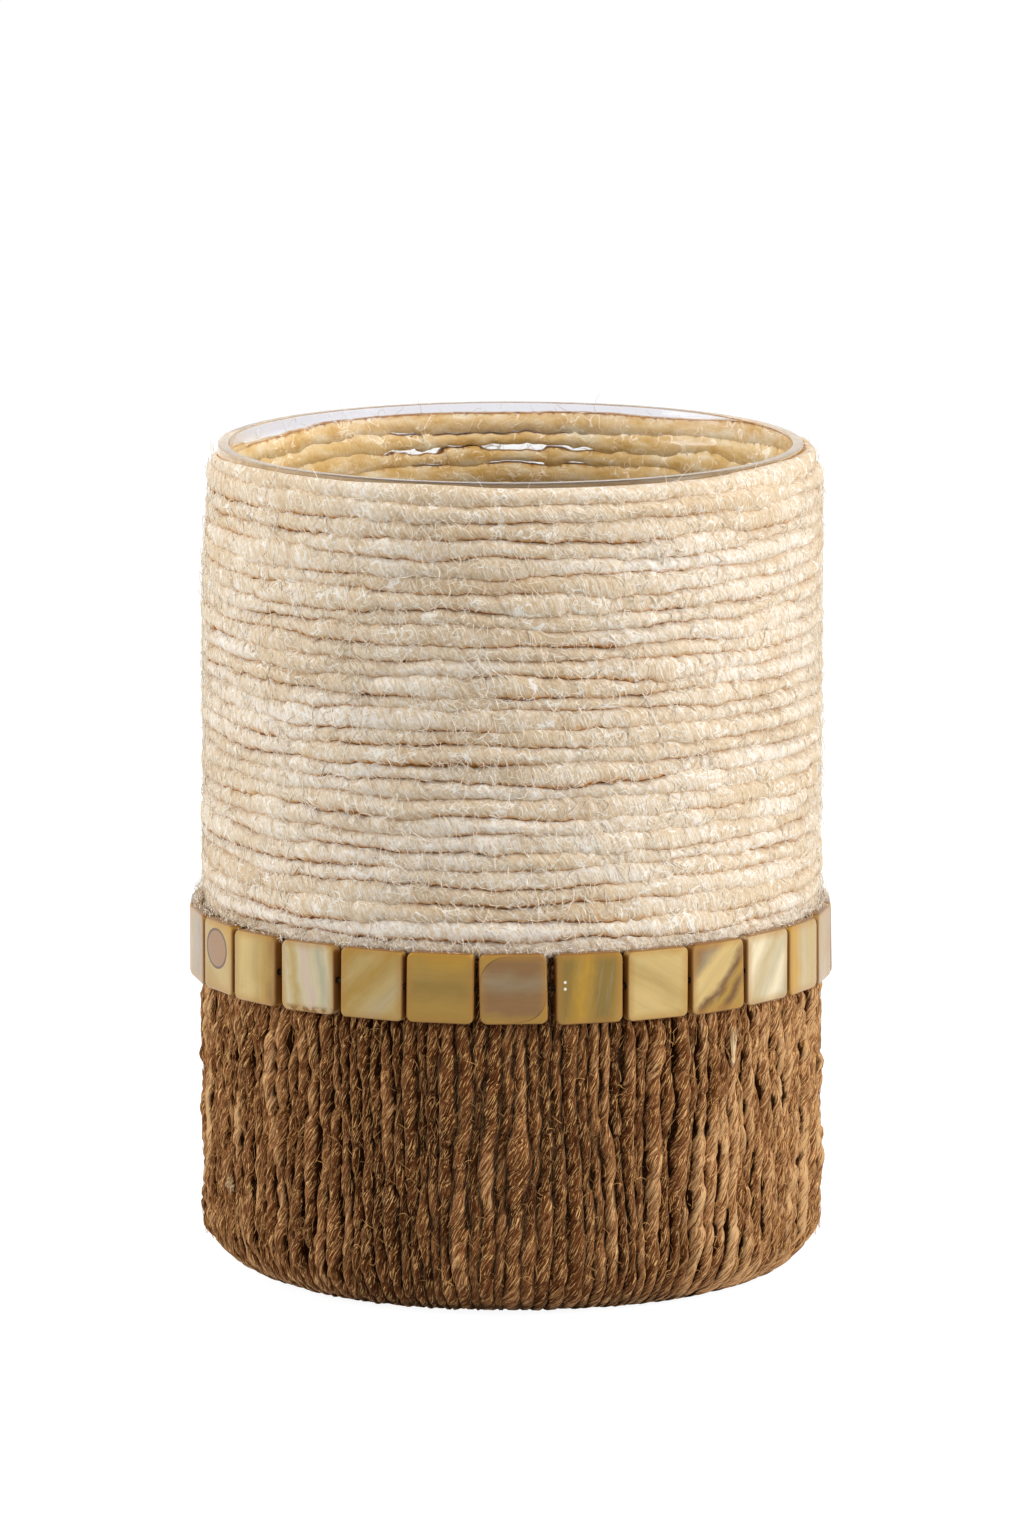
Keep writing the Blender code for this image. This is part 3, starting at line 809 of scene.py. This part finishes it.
def make_brown_fuzz(look):
    """Loose fibres all over the brown cord, most of them along its runs."""
    count = BROWN_FIBRES_A_PIECE
    for number in range(1, BROWN_FUZZ_PIECES + 1):
        random = np.random.default_rng(78 + 10 * number)
        curly = random.uniform(0, 1, count) < 0.1
        crossing = random.uniform(0, 1, count) < 0.15
        angle = random.uniform(0, TAU, count)
        add_fibres(
            f"brown_fuzz_{number}",
            (look, "brown_cord", "brown_cord_sleeve"),
            random,
            joints=5,
            angle=angle,
            level=random.uniform(0.6 * BROWN_HEEL_RADIUS, TILE_BOTTOM - 0.8 * MM, count),
            reach=random.uniform(-0.1, 0.16, count) * MM - brown_drawn_in(angle),
            heading=np.radians(random.normal(76, 10, count)) + np.where(crossing, 1.2, 0),
            length=(0.6 * MM, 1.9 * MM),
            bend=0.4,
            lift=0.1 * MM,
            thickness=(0.05 * MM, 0.11 * MM),
            wall_radius=BROWN_OUTER_RADIUS,
            curlier=np.where(curly, 4, 1),
        )


# The two pale wisps on the brown cord's front, low on the left and high on the right: their angle in
# degrees and level, how far they spread, how many degrees they fan, their length and reach
PALE_WISPS = {
    "pale_tuft": (-63.5, 12.5 * MM, 0.3 * MM, 80, 1.2 * MM, 0.25 * MM),
    "pale_streak": (45, 28.4 * MM, 0.1 * MM, 3, 4.4 * MM, 0.05 * MM),
}
PALE_WISP_FIBRES = 34


def make_pale_wisps(look):
    count = PALE_WISP_FIBRES
    for seed, (name, values) in enumerate(PALE_WISPS.items(), 81):
        degrees, level, spread, fanned, length, reach = values
        random = np.random.default_rng(seed)
        add_fibres(
            name,
            (look, "brown_cord", "brown_cord_sleeve"),
            random,
            joints=7,
            angle=math.radians(degrees) + random.normal(0, spread / BROWN_OUTER_RADIUS, count),
            level=level + random.normal(0, spread, count),
            reach=reach + random.uniform(-0.1, 0.1, count) * MM,
            heading=np.radians(random.normal(87, fanned, count)),
            length=(0.6 * length, length),
            bend=fanned / 60,
            lift=0.3 * spread,
            thickness=(0.06 * MM, 0.11 * MM),
            wall_radius=BROWN_OUTER_RADIUS,
            least_tone=0.3,
        )


# Glass

GLASS_WALL = 1.9 * MM
GLASS_FLOOR_LEVEL = 7.7 * MM
GLASS_HEEL = 5.3 * MM
GLASS_FILLET = 4.5 * MM
GLASS_PUNT = 0.8 * MM
GLASS_FOOT_WIDTH = 4 * MM
LIP_RADIUS = 0.2 * MM
LIP_WALL = 1.3 * MM
LIP_TAPER = 5 * MM
GLASS_SEGMENTS = 160


def arc(centre_r, centre_z, radius, start_deg, end_deg, steps):
    """Points (r, z) on an arc of a profile, both ends included."""
    angles = np.radians(np.linspace(start_deg, end_deg, steps + 1))
    return [(centre_r + radius * math.cos(a), centre_z + radius * math.sin(a)) for a in angles]


def revolve_mesh(name, profile, segments):
    """Spins a profile of (r, z) points, whose two ends lie on the axis, into a closed mesh."""
    ring = np.array(profile[1:-1])
    angles = TAU * np.arange(segments) / segments
    points = np.stack([
        np.outer(ring[:, 0], np.cos(angles)),
        np.outer(ring[:, 0], np.sin(angles)),
        np.repeat(ring[:, 1:], segments, axis=1),
    ], axis=-1).reshape(-1, 3)
    points = np.concatenate([points, [(0, 0, profile[0][1]), (0, 0, profile[-1][1])]])
    return closed_mesh(name, points, segments)


def inner_radius(level):
    """The radius of the tumbler's inside, which widens a little where the wall thins to its lip."""
    thinned = smooth_step(RIM_LEVEL - LIP_TAPER, RIM_LEVEL, level)
    return GLASS_RADIUS - GLASS_WALL + (GLASS_WALL - LIP_WALL) * thinned


def glass_profile():
    """The tumbler's outline from the middle of its underside, up its outside and down its inside."""
    inner = GLASS_RADIUS - GLASS_WALL
    fillet_level = GLASS_FLOOR_LEVEL + GLASS_FILLET
    lip_level = RIM_LEVEL - LIP_RADIUS
    heel_centre = GLASS_RADIUS - GLASS_HEEL
    punt_radius = heel_centre - GLASS_FOOT_WIDTH
    return [
        *[(punt_radius * t, GLASS_BASE + GLASS_PUNT * (1 - t * t)) for t in np.linspace(0, 1, 9)],
        *arc(heel_centre, GLASS_BASE + GLASS_HEEL, GLASS_HEEL, -90, 0, 10),
        *[(GLASS_RADIUS, z) for z in np.linspace(GLASS_BASE + GLASS_HEEL + 3 * MM, RIM_LEVEL - 2 * MM, 24)],
        *arc(GLASS_RADIUS - LIP_RADIUS, lip_level, LIP_RADIUS, 0, 84, 7),
        *arc(GLASS_RADIUS - LIP_WALL + LIP_RADIUS, lip_level, LIP_RADIUS, 96, 180, 7),
        *[(inner_radius(z), z) for z in np.linspace(RIM_LEVEL - 0.6 * MM, RIM_LEVEL - LIP_TAPER, 12)],
        *[(inner, z) for z in np.linspace(RIM_LEVEL - 8 * MM, fillet_level + 1 * MM, 20)],
        *arc(inner - GLASS_FILLET, fillet_level, GLASS_FILLET, 0, -90, 10),
        (inner * 0.4, GLASS_FLOOR_LEVEL),
        (0, GLASS_FLOOR_LEVEL),
    ]


def glass_material():
    """Clear glass, a little uneven and smeared, that lets the lamps' light through."""
    s = Shader(bpy.data.materials.new("clear_glass"))
    place = s.object_place()
    ripple = s.noise(place, (60, 60, 25), detail=1)
    smear = s.noise(place, (180, 180, 420), detail=3, roughness=0.6)
    near_rim = s.span(s.apart(place)[2], RIM_LEVEL - 2.4 * MM, RIM_LEVEL - 1.2 * MM, smooth=True)
    s.set(
        Base_Color=s.mix(near_rim, srgb(251, 251, 248), srgb(226, 225, 231)),
        Roughness=s.span(smear, 0.35, 0.75, 0.03, 0.16),
        Transmission_Weight=1.0,
        IOR=1.5,
        Normal=s.bump(ripple, 0.05 * MM, 0.5),
    )
    clear = s.fill(s.node("ShaderNodeBsdfTransparent"), Color=(0.94, 0.95, 0.94, 1))
    either = s.node("ShaderNodeMixShader")
    s.put(either.inputs["Fac"], s.node("ShaderNodeLightPath").outputs["Is Shadow Ray"])
    s.put(either.inputs[1], s.surface.outputs["BSDF"])
    s.put(either.inputs[2], clear.outputs["BSDF"])
    s.put(s.tree.nodes["Material Output"].inputs["Surface"], either.outputs["Shader"])
    return s.owner


def make_glass():
    mesh = revolve_mesh("tumbler", glass_profile(), GLASS_SEGMENTS)
    add_piece("tumbler", mesh, glass_material(), "glass", "glass_tumbler")


# Shell tiles

CORNER_RADIUS = 0.85 * MM
EDGE_RADIUS = 0.26 * MM
HOLE_RADIUS = 0.42 * MM
OUTLINE_POINTS = 56
FACE_DOME = 0.05 * MM
FACE_WARP = 0.02 * MM
LEAN_SHARE = 0.012


def rounded_square(half_width, half_height, corner, inset):
    """Points round a square with round corners, drawn in by inset, anticlockwise."""
    each = OUTLINE_POINTS // 4
    radius = corner - inset
    points = []
    for quarter, (side_x, side_z) in enumerate(((1, 1), (-1, 1), (-1, -1), (1, -1))):
        centre = np.array([side_x * (half_width - corner), side_z * (half_height - corner)])
        for step in range(each):
            turn = math.pi / 2 * (quarter + step / (each - 1))
            points.append(centre + radius * np.array([math.cos(turn), math.sin(turn)]))
    return np.array(points)


def tile_mesh(number):
    """One shell tile: X across, Z up, its face towards -Y, its edges softened, its face slightly domed."""
    random = np.random.default_rng(300 + number)
    half_width = TILE_WIDTH / 2 * (1 + random.uniform(-0.012, 0.006))
    half_height = TILE_HEIGHT / 2 * (1 + random.uniform(-0.014, 0.006))
    half_thick = TILE_THICKNESS / 2 * (1 + random.uniform(-0.04, 0.03))
    corner = CORNER_RADIUS * random.uniform(0.85, 1.25)
    turns = np.linspace(0, math.pi / 2, 5)
    edge = [(EDGE_RADIUS * (1 - math.sin(a)), half_thick - EDGE_RADIUS * (1 - math.cos(a))) for a in turns]
    outline = [rounded_square(half_width, half_height, corner, inset) for inset, _ in edge]
    rings = [(outline[k], edge[k][1]) for k in range(len(edge))]
    faces = [(outline[0] * share, half_thick) for share in (0.3, 0.55, 0.8)]
    back = faces + rings
    front = [(ring, -y) for ring, y in back[::-1]]
    points = np.concatenate([
        np.column_stack([ring[:, 0], np.full(len(ring), y), ring[:, 1]]) for ring, y in back + front
    ])
    points = np.concatenate([points, [(0, half_thick, 0), (0, -half_thick, 0)]])
    wave = random.uniform(-1, 1, 4)
    x, z = points[:, 0] / half_width, points[:, 2] / half_height
    dome = FACE_DOME * (1 - 0.5 * (x * x + z * z))
    warp = FACE_WARP * (wave[0] * x + wave[1] * z + wave[2] * x * z)
    points[:, 1] -= np.where(points[:, 1] < 0, dome + warp, 0)
    points[:, 0] += LEAN_SHARE * wave[3] * points[:, 2]
    return closed_mesh(f"tile_{number:02d}", points, OUTLINE_POINTS)


def drilled(mesh):
    """The mesh with the thread's hole cut through it from side to side."""
    drill_mesh = made_mesh(
        "drill", bmesh.ops.create_cone, cap_ends=True, segments=16, radius1=HOLE_RADIUS,
        radius2=HOLE_RADIUS, depth=TILE_WIDTH * 1.2, matrix=Euler((0, math.pi / 2, 0)).to_matrix().to_4x4(),
    )
    blank, drill = in_scene("blank", mesh), in_scene("drill", drill_mesh)
    hole = blank.modifiers.new("hole", "BOOLEAN")
    hole.operation = "DIFFERENCE"
    hole.object = drill
    depsgraph = bpy.context.evaluated_depsgraph_get()
    cut = bpy.data.meshes.new_from_object(blank.evaluated_get(depsgraph))
    for piece in (blank, drill):
        bpy.data.objects.remove(piece, do_unlink=True)
    cut.set_sharp_from_angle(angle=math.radians(40))
    return cut


AMBER = srgb(192, 146, 44)
OCHRE = srgb(174, 136, 56)
OLIVE = srgb(138, 110, 44)
KHAKI = srgb(154, 122, 52)
HONEY = srgb(208, 178, 114)
STRAW = srgb(190, 160, 96)
PEARL = srgb(206, 190, 152)
SILVER = srgb(182, 174, 144)
MAUVE = srgb(142, 104, 60)
TAUPE = srgb(152, 130, 96)
BEIGE = srgb(192, 170, 126)
UMBER = srgb(106, 68, 32)
IVORY = srgb(228, 212, 176)
ROSY = srgb(206, 182, 162)
GOLDEN_EDGE = srgb(176, 126, 48)
# The side faces: the shell's darker edge, deepened by painted shade in the gaps between tiles
SIDE_FACES_AND_GAP_SHADE = srgb(134, 88, 36)

# For the tiles that show from the front, by number: the direction of their bands of colour in
# degrees from level, the colours along it, how streaky they are, and a mark of their own
TILE_LOOKS = {
    1: (90, (OCHRE, MAUVE, MAUVE, TAUPE, MAUVE, MAUVE), 0.3, "arcs"),
    2: (-8, (OLIVE, OLIVE, AMBER, OLIVE, OLIVE, OCHRE), 0.4, "glint_flecks"),
    3: (60, (HONEY, HONEY, STRAW, HONEY, HONEY), 0.4, None),
    4: (135, (OCHRE, UMBER, OCHRE, UMBER, HONEY, HONEY, HONEY, TAUPE, MAUVE), 0.6, None),
    5: (150, (SILVER, IVORY, PEARL, BEIGE, IVORY, IVORY), 0.6, None),
    6: (0, (AMBER, AMBER, BEIGE, STRAW, BEIGE), 0.3, None),
    7: (0, (TAUPE, OCHRE, MAUVE), 0.25, None),
    28: (90, (OCHRE, OCHRE, KHAKI, OCHRE, AMBER), 0.3, None),
    27: (-45, (OCHRE, STRAW, OCHRE, STRAW, BEIGE, STRAW), 0.36, None),
    26: (10, (STRAW, PEARL, STRAW, PEARL, ROSY, PEARL, SILVER, PEARL, STRAW), 0.5, "pits"),
    25: (0, (STRAW, HONEY, STRAW, OCHRE, UMBER), 0.4, None),
    24: (60, (OCHRE, STRAW, STRAW, AMBER), 0.3, "eye"),
    23: (0, (OCHRE, TAUPE, MAUVE), 0.25, None),
}
SEEDED_COLOURS = (AMBER, HONEY, STRAW, PEARL, OCHRE, BEIGE, SILVER, MAUVE, IVORY, OLIVE)


# How far tiles stand from an even spacing, in degrees; the ones between these follow on evenly
SHIFTED_TILES = (1, 2, 3, 4, 5, 6, 7, 23, 24, 25, 26, 27, 28, 29)
TILE_SHIFTS = (0.5, 1.2, 1.25, 1.25, 1.25, 1.2, 1.1, -0.7, -0.8, -0.8, -0.1, 0.4, 0.35, 0.5)


def tile_look(number):
    """The look of a tile: listed where the photograph shows it, seeded elsewhere."""
    if number in TILE_LOOKS:
        return TILE_LOOKS[number]
    random = np.random.default_rng(600 + number)
    picks = random.choice(len(SEEDED_COLOURS), 4)
    lean = random.uniform(-90, 90)
    return lean, tuple(SEEDED_COLOURS[pick] for pick in picks), random.uniform(0.2, 0.6), None


def line_round(s, place, centre, radius, width):
    """1 on a thin line at a radius from a centre on the tile's face, and 1 within that radius."""
    away = s.distance(place, centre)
    return s.on_line(away, radius, width / 2, width), s.span(away, radius, radius + width, 1, 0)


# The arcs are stretches of a rounded square, an outline between a circle, with power 2, and a square
ARC_POWER = 2.5
ARC_REACH_MM = 3.95


def corner_arcs(s, face):
    """1 on thin lines round the upper left and lower right corners of a tile, and 1 in those corners."""
    x, _, z = s.apart(s.place(face, scale=(1 / MM, 1, 1 / MM)))
    powers = [s.maths("POWER", s.maths("ABSOLUTE", value), ARC_POWER) for value in (x, z)]
    away = s.maths("POWER", s.maths("ADD", *powers), 1 / ARC_POWER)
    sided = s.span(s.maths("MULTIPLY", x, z), 0, -0.5)
    line = s.maths("MULTIPLY", sided, s.on_line(away, ARC_REACH_MM, 0.02, 0.1))
    return line, s.maths("MULTIPLY", sided, s.span(away, ARC_REACH_MM, ARC_REACH_MM + 0.1))


def add_mark(s, mark, face, colour):
    """The one mark that a tile carries besides its bands of colour; glint flecks are painted highlights."""
    if mark == "arcs":
        line, corners = corner_arcs(s, face)
        colour = s.mix(corners, colour, OCHRE)
        return s.mix(s.maths("MULTIPLY", line, 0.8), colour, srgb(78, 52, 24))
    if mark == "eye":
        drop = s.place(face, scale=(0.84, 1, 1.02))
        line, within = line_round(s, drop, (-0.25 * MM, 0, 0.95 * MM), 2.35 * MM, 0.2 * MM)
        colour = s.mix(within, colour, srgb(156, 116, 78))
        return s.mix(s.maths("MULTIPLY", line, 0.85), colour, srgb(70, 42, 22))
    if mark == "pits":
        specks = s.span(s.noise(face, (700, 1, 1100)), 0.47, 0.52, smooth=True)
        low = s.span(s.apart(face)[2], -TILE_HEIGHT * 0.46, -TILE_HEIGHT * 0.38, 1, 0, smooth=True)
        return s.mix(s.maths("MULTIPLY", specks, low), colour, srgb(84, 54, 26))
    # Painted highlights: two small white glints near the tile's left edge
    if mark == "glint_flecks":
        for level in (0.9 * MM, 0.1 * MM):
            _, within = line_round(s, face, (-3 * MM, 0, level), 0.12 * MM, 0.1 * MM)
            colour = s.mix(within, colour, srgb(255, 250, 235))
    return colour


def shell_material(number):
    """Polished shell: bands of growth and clouds under a satin surface, deeper gold along its edges,
    painted shade on its sides.
    """
    lean, colours, streaky, mark = tile_look(number)
    s = Shader(bpy.data.materials.new(f"shell_{number:02d}"))
    place = s.object_place()
    face = s.place(place, scale=(1, 0, 1))
    shift = tuple(np.random.default_rng(700 + number).uniform(-0.5, 0.5, 3))
    leaned = s.place(face, turn=(0, math.radians(lean), 0))
    clouds = s.noise(s.place(place, shift=shift), 240, detail=3, roughness=0.55, distortion=0.4)
    layers = s.noise(leaned, (1100, 1, 90), shift, detail=3, roughness=0.55, distortion=0.5)
    wisps = s.noise(leaned, (1500, 1, 160), shift, detail=4, roughness=0.6, distortion=0.3)
    across = s.maths("MULTIPLY_ADD", s.apart(leaned)[0], 1 / TILE_HEIGHT, 0.5)
    across = s.maths("ADD", across, s.maths("MULTIPLY_ADD", clouds, 0.34, -0.17))
    step = 1 / (len(colours) - 1)
    colour = s.ramp(across, *[(k * step, tone) for k, tone in enumerate(colours)])
    shade = s.maths("MULTIPLY_ADD", layers, streaky, 1 - streaky / 2 - 0.04)
    colour = s.mix(1.0, colour, s.ramp(shade, (0.0, (0, 0, 0)), (1.0, (1, 1, 1))), "MULTIPLY")
    wisp_share = max(0.0, 0.8 * streaky - 0.18)
    colour = s.mix(s.span(wisps, 0.52, 0.75, 0.0, wisp_share, smooth=True), colour, PEARL)
    colour = add_mark(s, mark, face, colour)
    x, _, z = s.apart(s.place(face, scale=(2 / TILE_WIDTH, 1, 2 / TILE_HEIGHT)))
    outwards = s.maths("MAXIMUM", s.maths("ABSOLUTE", x), s.maths("ABSOLUTE", z))
    uneven = s.maths("MULTIPLY_ADD", s.maths("SUBTRACT", clouds, 0.5), 0.16, outwards)
    colour = s.mix(s.span(uneven, 0.68, 0.99, 0.0, 0.6, smooth=True), colour, GOLDEN_EDGE)
    # Painted shade: the side faces, seen in the gaps between tiles, turn darker brown
    colour = s.mix(s.span(outwards, 0.945, 0.985, 0.0, 0.85, smooth=True), colour, SIDE_FACES_AND_GAP_SHADE)
    s.set(
        Base_Color=colour,
        Roughness=s.span(clouds, 0.3, 0.7, 0.26, 0.38),
        Specular_IOR_Level=0.25,
        Coat_Weight=0.3,
        Coat_Roughness=0.1,
        Normal=s.bump(layers, 0.04 * MM, 0.35),
    )
    return s.owner


def tile_angle(number):
    """Where a tile stands round the band: evenly, apart from the small shifts seen in the photograph."""
    even = TAU * (number - 1) / TILE_COUNT
    return even + math.radians(np.interp(number, SHIFTED_TILES, TILE_SHIFTS))


def make_tiles():
    """The tiles in their places round the band, each a little out of true."""
    for number in range(1, TILE_COUNT + 1):
        node = f"shell_tile_{number:02d}"
        random = np.random.default_rng(400 + number)
        angle = tile_angle(number)
        level = TILE_LEVEL + random.uniform(-0.07, 0.07) * MM
        lean_back, tilt = np.radians(random.uniform(-0.8, 0.8, 2))
        spot = Vector(around(TILE_MIDDLE_RADIUS, angle, level))
        place = Matrix.LocRotScale(spot, Euler((lean_back, tilt, angle)), None)
        mesh = drilled(tile_mesh(number))
        add_piece(f"tile_{number:02d}", mesh, shell_material(number), "shell", node, place)


# Thread

THREAD_RADIUS = 0.24 * MM
THREAD_POINTS_PER_TILE = 24
THREAD_LAY_LENGTH = 1.6 * MM
THREAD_RELIEF = 0.12


def make_thread():
    """The dark thread, straight through each tile and bent in each gap, twisted of its plies."""
    bend_radius = TILE_MIDDLE_RADIUS / math.cos(math.pi / TILE_COUNT)
    angles = np.array([tile_angle(number) for number in range(1, TILE_COUNT + 1)])
    after = np.append(angles[1:], angles[0] + TAU)
    corners = (angles + after) / 2
    corner_points = around(bend_radius, corners, TILE_LEVEL)
    share = np.linspace(0, 1, THREAD_POINTS_PER_TILE, endpoint=False)[None, :, None]
    path = corner_points[:, None] * (1 - share) + np.roll(corner_points, -1, axis=0)[:, None] * share
    path = path.reshape(-1, 3)
    path = np.concatenate([path, path[:1]])
    size = np.full(len(path), THREAD_RADIUS)
    even = np.ones(len(path))
    look = cord_material(
        "dark_thread",
        shades=(srgb(24, 17, 12), srgb(46, 34, 26), srgb(78, 60, 44)),
        contrast=0.18,
        halo=srgb(30, 22, 16),
        halo_span=(0.3, 0.5),
        grooves=(srgb(14, 9, 7), srgb(8, 5, 4)),
        groove_span=(0.4, 0.7),
        ragged=0.5,
        inner=(srgb(16, 11, 8), srgb(22, 16, 12), srgb(30, 22, 16)),
        glint=srgb(120, 96, 70),
        glint_level=0.68,
        fibres_a_mm=8,
        slender=0.16,
        curl=0.35,
        speckled=0.0,
        relief=0.06 * MM,
    )
    add_yarn(
        "thread", (look, "thread", "tile_thread"), [0, len(path) - 1], path, unit(path * (1, 1, 0)), size,
        size, even, even * 0.5, even, even * 0, 0.0, THREAD_LAY_LENGTH, THREAD_RELIEF, seed=90,
    )


# Floor, light and camera

FLOOR_SIZE = 4
FLOOR_DROP = 0.02 * MM
FLOOR_GLOW = 0.93
AMBIENT = 0.23


def seen_ray(s):
    """1 for rays from the camera and those that glass or gloss passes on, 0 for the rest."""
    rays = s.node("ShaderNodeLightPath").outputs
    seen = s.maths("ADD", rays["Is Camera Ray"], rays["Is Glossy Ray"], clamp=True)
    return s.maths("ADD", seen, rays["Is Transmission Ray"], clamp=True)


def make_stage():
    """A plain white floor that keeps a soft shadow, in front of plain white."""
    mesh = made_mesh("floor", bmesh.ops.create_grid, x_segments=8, y_segments=8, size=FLOOR_SIZE)
    floor = in_scene("floor", mesh)
    floor.location = (0, 0, sleeve_low[2] - FLOOR_DROP)
    s = Shader(bpy.data.materials.new("floor"))
    seen = seen_ray(s)
    s.set(
        Base_Color=s.mix(seen, (0.5, 0.5, 0.5), (0.25, 0.25, 0.25)),
        Roughness=1.0,
        Specular_IOR_Level=0.0,
        Emission_Color=(1, 1, 1, 1),
        Emission_Strength=s.maths("MULTIPLY", seen, FLOOR_GLOW),
    )
    mesh.materials.append(s.owner)


def make_world():
    """White where it is seen, and a softer light from all round on the object."""
    world = bpy.data.worlds.new("studio")
    bpy.context.scene.world = world
    s = Shader(world, "Background")
    s.set(Color=(1, 1, 1, 1), Strength=s.span(seen_ray(s), 0, 1, AMBIENT, 1))


def looking(name, data, target, azimuth, elevation, distance):
    """Adds a lamp or camera that looks at a target from an azimuth and elevation in degrees."""
    azimuth, elevation = math.radians(azimuth), math.radians(elevation)
    away = Vector(around(math.cos(elevation), azimuth, math.sin(elevation)))
    looker = in_scene(name, data)
    looker.location = target + away * distance
    looker.rotation_euler = away.to_track_quat("Z", "Y").to_euler()
    return looker


# Softboxes: azimuth and elevation in degrees, size, power and colour
SOFTBOX_DISTANCE = 0.9
SOFTBOXES = {
    "key_right": (67, 16, (0.5, 0.6), 7.4, (0.98, 0.99, 1)),
    "fill_left": (-82, 12, (0.5, 0.6), 6.8, (0.96, 0.98, 1)),
    "top": (0, 80, (0.6, 0.6), 4.0, (1, 1, 1)),
}


def make_lights():
    """Area lights aimed at the holder's middle."""
    for name, (azimuth, elevation, size, power, colour) in SOFTBOXES.items():
        light = bpy.data.lights.new(name, "AREA")
        light.shape = "RECTANGLE"
        light.size, light.size_y = size
        light.energy = power
        light.color = colour
        lamp = looking(name, light, Vector((0, 0, RIM_LEVEL / 2)), azimuth, elevation, SOFTBOX_DISTANCE)
        lamp.visible_glossy = False


CAMERA_DISTANCE = 1.715
CAMERA_ELEVATION = 9.4
CAMERA_LENS = 334.2
CAMERA_SENSOR = (24, 36)
CAMERA_AIM = Vector((0.18 * MM, 0, 60.35 * MM))


def make_camera():
    """The photograph's view, from in front and a little above."""
    data = bpy.data.cameras.new("camera")
    data.sensor_fit = "VERTICAL"
    data.sensor_width, data.sensor_height = CAMERA_SENSOR
    data.lens = CAMERA_LENS
    camera = looking("camera", data, CAMERA_AIM, 0, CAMERA_ELEVATION, CAMERA_DISTANCE)
    bpy.context.scene.camera = camera


# The pieces

cream_look = cord_material(
    "cream_jute",
    shades=(srgb(200, 166, 123), srgb(225, 203, 172), srgb(244, 235, 224)),
    contrast=0.22,
    halo=srgb(202, 148, 84),
    halo_span=(0.06, 0.32),
    grooves=(srgb(172, 114, 50), srgb(114, 68, 26)),
    groove_span=(0.28, 0.44),
    ragged=0.4,
    inner=(srgb(190, 152, 90), srgb(204, 174, 126), srgb(212, 196, 166)),
    glint=srgb(255, 250, 240),
    glint_level=0.62,
    fibres_a_mm=6.5,
    slender=0.25,
    curl=1.0,
    speckled=0.45,
    relief=0.06 * MM,
    loose=0.8,
    sheen=0.12,
    sheen_tint=(1, 0.9, 0.76),
)
brown_look = cord_material(
    "brown_jute",
    shades=(srgb(60, 30, 13), srgb(110, 65, 35), srgb(173, 121, 78), srgb(216, 173, 124)),
    contrast=0.175,
    halo=srgb(68, 34, 14),
    halo_span=(0.08, 0.22),
    grooves=(srgb(44, 20, 8), srgb(22, 9, 3)),
    groove_span=(0.15, 0.26),
    ragged=0.2,
    inner=(srgb(60, 32, 14), srgb(80, 46, 22), srgb(104, 64, 34)),
    glint=srgb(246, 196, 130),
    glint_level=0.59,
    fibres_a_mm=3.4,
    slender=0.08,
    curl=0.4,
    speckled=0.12,
    relief=0.13 * MM,
    sheen=0.9,
    sheen_tint=(1, 0.56, 0.28),
)
cream_fibre_look = fibre_material("cream_fibre", srgb(224, 202, 168), srgb(254, 247, 234))
make_glass()
make_cream_cord(cream_look)
make_cream_fuzz(cream_fibre_look)
make_cream_hem(cream_fibre_look)
make_brown_cord(brown_look)
make_brown_fuzz(fibre_material("brown_fibre", srgb(104, 55, 24), srgb(230, 174, 108)))
make_pale_wisps(fibre_material("pale_fibre", srgb(200, 160, 112), srgb(240, 214, 172)))
make_tiles()
make_thread()

# The picture

make_stage()
make_world()
make_lights()
make_camera()
bpy.context.scene.view_settings.view_transform = "Standard"
